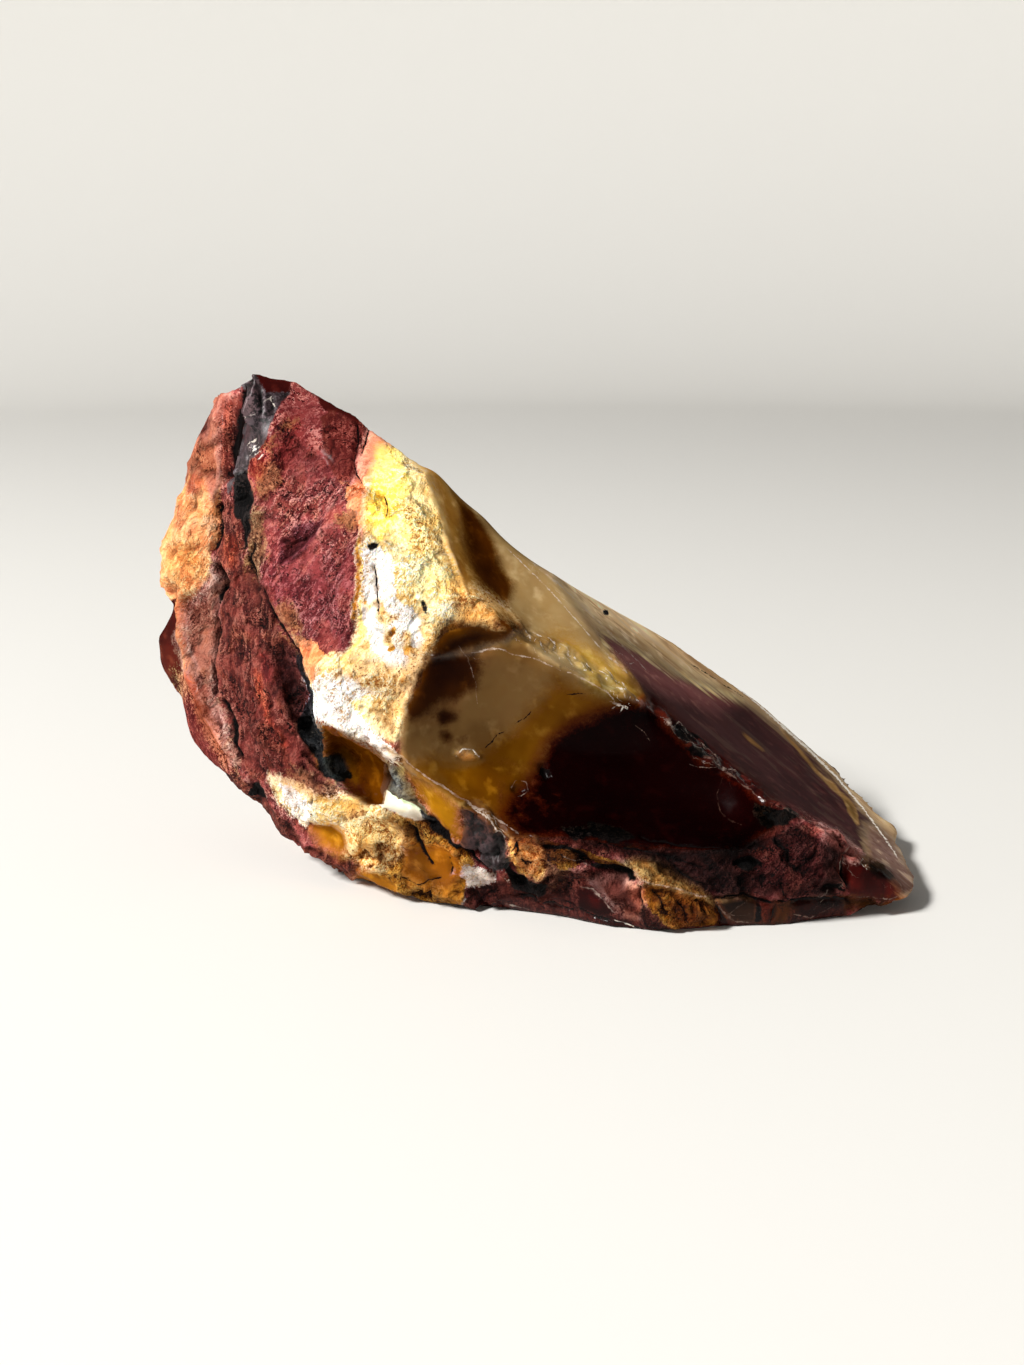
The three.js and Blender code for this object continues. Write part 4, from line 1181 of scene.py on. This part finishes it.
def grain(pitch, detail=2.0, stretch=(1, 1, 1), shift=0.0, roughness=0.5, turn=0.0):
    """Noise of a pitch in mm, from 0 to 1, drawn out along its own axes and then turned."""
    laid = book.node("ShaderNodeMapping", {"vector_type": "TEXTURE"}, {
        "Vector": mm, "Location": (shift, shift * 0.6, -shift), "Rotation": (0, turn, 0), "Scale": stretch})
    values = {"Vector": laid, "Scale": 1 / pitch, "Detail": detail, "Roughness": roughness}
    return book.node("ShaderNodeTexNoise", {}, values)


def attribute(name, output=2):
    return book.node("ShaderNodeAttribute", {"attribute_name": name}, output=output)


broad_tone = grain(7.0, 3.0)
middle_tone = grain(2.2, 3.0, shift=9.0)
fine_tone = grain(0.55, 3.0, shift=17.0, roughness=0.65)
dust = grain(0.22, 1.0, shift=5.0)
streaks = grain(0.5, 3.0, (2.6, 1.0, 1.0), 3.0, 0.65, -GRAIN_TILT)
striae = grain(0.4, 2.0, (60.0, 10.0, 1.0), 23.0, 0.6, math.radians(40))
fibre_tone = grain(0.5, 3.0, (1.0, 2.0, 4.5), 13.0, 0.65)
crest_lines = book.node("ShaderNodeTexNoise", {"noise_type": "RIDGED_MULTIFRACTAL"}, {
    "Vector": book.node("ShaderNodeMapping", {"vector_type": "TEXTURE"}, {
        "Vector": mm, "Rotation": (0, -GRAIN_TILT, 0), "Scale": (1.9, 1.0, 1.0)}),
    "Scale": 1.0, "Detail": 2.0, "Roughness": 0.6, "Offset": 1.0, "Gain": 1.0})
specks = grain(0.42, 2.0, shift=31.0, roughness=0.7).above(0.58, 0.64) * middle_tone.above(0.42, 0.58)
swirl = book.node("ShaderNodeTexNoise", {}, {"Vector": mm, "Scale": 0.5, "Detail": 2.0}, "Color")
bent = book.node("ShaderNodeVectorMath", {"operation": "MULTIPLY_ADD"}, {0: swirl, 1: (2.4, 2.4, 2.4), 2: mm})
rift = book.node("ShaderNodeTexVoronoi", {"feature": "DISTANCE_TO_EDGE"}, {"Vector": bent, "Scale": 1 / 4.2})
busy = grain(4.6, 2.0, shift=61.0).above(0.42, 0.58) * 0.7 + 0.3
hair_cracks = (0.05 - rift).above(0.0, 0.04) * grain(3.0, 1.0, shift=41.0).above(0.5, 0.6)
# Local height, for painted highlights on raised grain and painted shade in pits and hollows.
height = attribute("height")
border_noise = (fine_tone - 0.5) * 1.1 + (middle_tone - 0.5) * 0.8 + (dust - 0.5) * 0.5
print(len(material.node_tree.nodes), "nodes for the patterns")


# %% Tones of each layer
def tones(deep, dark, middle, light, pattern=None, pitted=1.0):
    """Four tones: broad clouds, grain over them, pale crests and deep pits. The crests are partly pale grain
    and partly painted highlight where the skin stands up; the pits are partly dark grain and partly painted
    shade where it sinks.
    """
    clouds = book.mix((broad_tone * 0.5 + middle_tone * 0.5).above(0.42, 0.58), seen(*dark), seen(*middle))
    grains = book.mix(((pattern or fine_tone) + height * 0.06).above(0.46, 0.60), clouds, seen(*middle))
    # Painted highlight: the pale tone goes on raised grain as well as on noise.
    crest = ((pattern or fine_tone) * 0.6 + dust * 0.4 + height * 0.1 + crest_lines * 0.06).above(0.55, 0.66)
    lit = book.mix(crest * busy, grains, seen(*light))
    # Painted shade: the deep tone goes into sunken grain as well as on noise.
    pit = (fine_tone * 0.7 + dust * 0.3 + height * 0.1).above(0.47, 0.40)
    return book.mix(pit * busy * pitted, lit, seen(*deep))


def clear_tones(dark, middle, light):
    """Glassy stone is cloudy, not grainy."""
    clouds = book.mix(broad_tone.above(0.36, 0.64), seen(*dark), seen(*middle))
    return book.mix(middle_tone.above(0.52, 0.78), clouds, seen(*light))


def speckled(base, dots, share=1.0, cracks=0.0):
    """Dark specks, and hair cracks where their share is above nought."""
    dotted = book.mix(specks * share, base, seen(*dots))
    return book.mix(hair_cracks * cracks, dotted, seen(*dots)) if cracks else dotted


colour_of = {
    "maroon": speckled(
        tones((50, 12, 18), (108, 40, 42), (152, 74, 72), (216, 148, 138), streaks),
        (34, 10, 14), 0.9),
    "peach": speckled(
        tones((170, 92, 54), (232, 150, 98), (250, 184, 126), (255, 220, 172), streaks, 0.6),
        (120, 58, 34), 0.4),
    "rust": tones((28, 8, 10), (80, 31, 30), (122, 55, 48), (188, 118, 102), fibre_tone),
    "wine": clear_tones((52, 14, 12), (76, 22, 18), (102, 40, 32)),
    "umber": speckled(
        tones((32, 12, 12), (72, 28, 26), (106, 50, 42), (160, 98, 82), fibre_tone),
        (22, 10, 10), 0.7, 0.6),
    "taupe": speckled(tones((60, 36, 26), (110, 70, 50), (148, 104, 74), (200, 162, 122)), (50, 28, 22), 0.9),
    "iron": tones((8, 8, 9), (34, 28, 31), (60, 49, 52), (92, 84, 88)),
    "black": tones((2, 2, 3), (7, 6, 7), (14, 12, 13), (50, 43, 42)),
    "cream": speckled(
        tones((214, 158, 84), (246, 212, 138), (255, 238, 184), (255, 252, 232), None, 0.6),
        (170, 100, 44), 0.5),
    "golden": speckled(
        tones((170, 104, 44), (224, 172, 98), (248, 210, 144), (255, 240, 196), None, 1.0),
        (120, 62, 18), 0.9, 0.2),
    "yellow": speckled(
        tones((226, 170, 60), (252, 220, 100), (255, 240, 150), (255, 250, 214), None, 0.5),
        (190, 120, 30), 0.4),
    "chalk": speckled(
        tones((196, 150, 96), (248, 242, 228), (255, 253, 248), (255, 255, 255), None, 0.9),
        (150, 104, 56), 0.7),
    "ochre": speckled(
        tones((84, 42, 8), (160, 96, 20), (202, 132, 32), (240, 186, 92)),
        (36, 18, 8), 0.35, 0.5),
    "amber": clear_tones((124, 78, 6), (158, 106, 10), (188, 134, 34)),
    "brown": clear_tones((66, 34, 3), (94, 54, 6), (128, 80, 20)),
    "clear": clear_tones((142, 112, 68), (168, 138, 90), (186, 158, 112)),
    "honey": clear_tones((166, 112, 38), (200, 148, 66), (228, 186, 112)),
    "olive": clear_tones((132, 88, 8), (160, 112, 24), (188, 144, 54)),
    "night": clear_tones((18, 0, 1), (25, 1, 2), (38, 4, 4)),
    "mauve": clear_tones((52, 22, 24), (64, 31, 32), (82, 46, 44)),
    "band": clear_tones((184, 152, 110), (210, 182, 138), (234, 210, 172)),
    "pink": tones((110, 60, 58), (176, 120, 112), (212, 164, 154), (244, 214, 204), streaks),
    "streak": clear_tones((128, 92, 50), (158, 120, 70), (188, 152, 100)),
    "glaze": clear_tones((232, 226, 212), (244, 240, 230), (252, 250, 246)),
}
print(len(colour_of), "layers have tones")

# %% [markdown]
# Each mask is a layer's stored distance with noise added, cut at nought. The noise makes borders
# wander by about a millimetre, and the softness says how far one stone blends into the next: hardly
# in the chalk, by a few millimetres in clear silica.

# %% Lay the layers over each other
SOFT = {
    "taupe": 0.5, "clear": 0.8, "olive": 1.6, "amber": 1.2, "brown": 0.7, "honey": 1.4, "night": 0.7,
    "mauve": 0.9, "band": 1.1, "umber": 0.3, "pink": 0.6, "golden": 0.9, "cream": 0.4, "streak": 0.15,
}
WANDER = {
    "brown": 1.4, "taupe": 2.4, "peach": 1.2, "rust": 1.3, "night": 1.3, "olive": 1.6, "mauve": 0.1,
    "band": 0.1, "ochre": 0.9, "black": 0.4, "iron": 0.6, "chalk": 1.5, "cream": 1.3, "yellow": 1.2,
    "glaze": 0.15, "streak": 0.1,
}

colour = colour_of["maroon"]
masks = {}
for name in LAYERS[1:]:
    soft = SOFT.get(name, 0.12)
    depth = attribute(f"layer_{name}") + border_noise * WANDER.get(name, 0.8)
    if name == "band":
        depth = depth + (striae - 0.5) * 3.0
    masks[name] = depth.above(-soft, soft)
    if name == "night":
        colour = book.mix(depth.above(-1.6, 0.2), colour, seen(92, 30, 10))
    colour = book.mix(masks[name], colour, colour_of[name])
colour = book.mix(1.0, colour, attribute("tint", 0), "MULTIPLY")
print("layers laid")

# %% Fine beds on the slope and stains on the rough faces
edge_on = masks["mauve"].most(masks["band"])
dark_beds = striae.above(0.5, 0.62) * (masks["band"] * 0.35 + 0.2) * edge_on
colour = book.mix(dark_beds, colour, seen(176, 146, 130), "MULTIPLY")
pale_beds = striae.above(0.46, 0.34) * (masks["band"] * 0.5 + masks["mauve"] * 0.03)
colour = book.mix(pale_beds, colour, seen(222, 196, 164))
glassy = (attribute("glassy") + border_noise * 0.35).above(-0.12, 0.12)
pale_share = masks["cream"].most(masks["chalk"]).most(masks["yellow"]).most(masks["golden"])
stain = grain(3.4, 3.0, shift=51.0)
rosy = stain.above(0.50, 0.62) * (0.6 - glassy.most(pale_share) * 0.5)
colour = book.mix(rosy, colour, seen(226, 186, 178), "MULTIPLY")
colour = book.mix(stain.above(0.48, 0.38) * (0.6 - glassy * 0.4), colour, seen(255, 236, 204), "MULTIPLY")
print(len(material.node_tree.nodes), "nodes so far")


# %% Cracks and pale lines
def line_mask(name, rough_edge):
    """Cuts a thin line from the signed distance and half width stored for it."""
    parts = [book.node("ShaderNodeSeparateXYZ", {}, {"Vector": attribute(name, 1)}, k) for k in range(3)]
    off = (parts[0] + (dust - 0.5) * 0.12).most(-1 * parts[0] - (dust - 0.5) * 0.12)
    return (parts[1] - off + (fine_tone - 0.5) * rough_edge).above(-0.04, 0.04), parts[2]


dark_line, _ = line_mask("dark_lines", 0.5)
colour = book.mix(dark_line, colour, seen(12, 8, 8))
# Pale lines: scratches and tan streaks of the stone, and painted highlights where glints and lit edges are
# drawn; a higher tone makes a whiter line.
pale_line, line_tone = line_mask("pale_lines", 0.5)
patchy = grain(1.4, 2.0, shift=71.0).above(0.44, 0.56) * 0.75 + 0.25
line_colour = book.mix(line_tone, seen(140, 84, 56), seen(255, 250, 238))
colour = book.mix(pale_line * patchy.most(line_tone.above(0.8, 0.9)) * line_tone, colour, line_colour)
print("lines drawn in", len(material.node_tree.nodes), "nodes so far")

# %% [markdown]
# ## Five finishes
#
# Rough jasper is dull. Chalk is dull too, but light goes a little way into it, which fills its pits.
# Flake scars are calm: light sinks into them and nothing is mirrored. Where the glassy stone is
# struck or crumpled it is bright. The ore shines slightly like metal. Masks on Mix Shader nodes
# choose between the five.

# %% Finishes
sparkle = attribute("sparkle")
# Painted shade: where the skin sinks below its neighbours its colour is darkened towards warm brown.
hollow_shade = height.above(-0.9, 0.1) * 0.6 + 0.4
dull_colour_with_painted_shade = book.mix(1 - hollow_shade, colour, seen(96, 44, 30), "MULTIPLY")
bump_height = (fine_tone + dust * 0.35 + streaks * 0.8 + crest_lines * 0.16) * busy + middle_tone * 0.9
dull_bump = book.node("ShaderNodeBump", {}, {"Strength": 1.0, "Distance": 0.0014, "Height": bump_height})
glass_bump = book.node("ShaderNodeBump", {}, {
    "Strength": 0.35, "Distance": 0.00012, "Height": middle_tone * 0.6 + broad_tone * 2})


def finish(base, roughness, bump, shine, more=()):
    """A Principled shader; shine is its specular level, and more holds any other constants."""
    values = {"Base Color": base, "Roughness": roughness, "Normal": bump, "Specular IOR Level": shine}
    return book.node("ShaderNodeBsdfPrincipled", {}, {**values, **dict(more)})


def lets_light_in(weight, radius):
    return {"Subsurface Weight": weight, "Subsurface Radius": radius, "Subsurface Scale": 1.0}


def either(share, first, second):
    return book.node("ShaderNodeMixShader", {}, {0: share, 1: first, 2: second})


dull_roughness = 0.62 + 0.25 * fine_tone
dull = finish(dull_colour_with_painted_shade, dull_roughness, dull_bump, 0.08)
chalky = finish(dull_colour_with_painted_shade, dull_roughness, dull_bump, 0.08, lets_light_in(0.2, (0.0014, 0.0009, 0.0006)))
calm = finish(colour, 0.22 + 0.2 * middle_tone, glass_bump, 0.0, lets_light_in(0.12, (0.004, 0.002, 0.001)))
bright = finish(colour, 0.1 + 0.2 * middle_tone, glass_bump, 0.6)
ore = finish(colour, 0.26 + 0.4 * middle_tone, glass_bump, 0.3, {"Metallic": 0.15})
stone_finish = either(glassy, either(pale_share, dull, chalky), either(sparkle, calm, bright))
stone_finish = either(masks["iron"], stone_finish, ore)
book.node("ShaderNodeOutputMaterial", {}, {"Surface": stone_finish})
skin.materials.clear()
skin.materials.append(material)
print(len(material.node_tree.nodes), "nodes")

# %% [markdown]
# ## Hand the skin over
#
# The fine skin now stands for the plain solid, and rides on the same body.

# %% Replace the solid
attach(stone, "root")
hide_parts("mookaite_stone")
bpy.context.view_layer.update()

# %% [markdown]
# ## Floor, backdrop and light
#
# A pale sheet lies under the stone and curves up all round, so no horizon cuts the picture. One
# window stands high at the upper left, a little in front of the stone. The room itself gives little
# light, so the right front stays dark, as the real stone does.

# %% Sweep
def plain_finish(name, tone, roughness):
    made = bpy.data.materials.new(name)
    made.use_nodes = True
    pages = Book(made)
    shader = pages.node("ShaderNodeBsdfPrincipled", {}, {"Base Color": (*tone, 1), "Roughness": roughness})
    pages.node("ShaderNodeOutputMaterial", {}, {"Surface": shader})
    return made


SWEEP_RADIUS, SWEEP_RISE, SWEEP_BEND = 1.1, 0.28, 0.26
bpy.ops.object.select_all(action="DESELECT")
bpy.ops.mesh.primitive_circle_add(vertices=96, radius=SWEEP_RADIUS, fill_type="NGON")
sweep = bpy.context.active_object
sweep.name = "sweep"
bpy.ops.object.mode_set(mode="EDIT")
bpy.ops.mesh.select_all(action="SELECT")
bpy.ops.mesh.select_mode(type="EDGE")
bpy.ops.mesh.region_to_loop()
bpy.ops.mesh.extrude_region_move(TRANSFORM_OT_translate={"value": (0, 0, SWEEP_RISE)})
bpy.ops.object.mode_set(mode="OBJECT")
for edge in sweep.data.edges:
    edge.select = all(sweep.data.vertices[v].co.z < SWEEP_RISE / 2 for v in edge.vertices)
bpy.ops.object.mode_set(mode="EDIT")
bpy.ops.mesh.bevel(offset=SWEEP_BEND, segments=20, profile=0.5)
bpy.ops.object.mode_set(mode="OBJECT")
bpy.ops.object.shade_smooth()
sweep.data.materials.append(plain_finish("pale_sheet", (0.76, 0.75, 0.72), 0.75))
print("sweep of", len(sweep.data.polygons), "faces")


# %% Lights
def window(name, place, aim, size, power, tone):
    """A soft rectangle of light that looks at its aim."""
    data = bpy.data.lights.new(name, "AREA")
    data.shape = "RECTANGLE"
    data.size, data.size_y = size
    data.energy = power
    data.color = tone
    made = bpy.data.objects.new(name, data)
    made.location = place
    made.rotation_euler = (Vector(aim) - Vector(place)).to_track_quat("-Z", "Y").to_euler()
    bpy.context.scene.collection.objects.link(made)


window("window", (-0.98, -0.60, 0.98), (0, 0, 0.03), (0.32, 0.32), 38.0, (1.0, 0.985, 0.96))
world = bpy.data.worlds.new("room")
world.use_nodes = True
room = world.node_tree.nodes["Background"]
room.inputs["Color"].default_value = (1.0, 0.97, 0.92, 1)
room.inputs["Strength"].default_value = 0.17
bpy.context.scene.world = world
bpy.context.scene.view_settings.view_transform = "Standard"
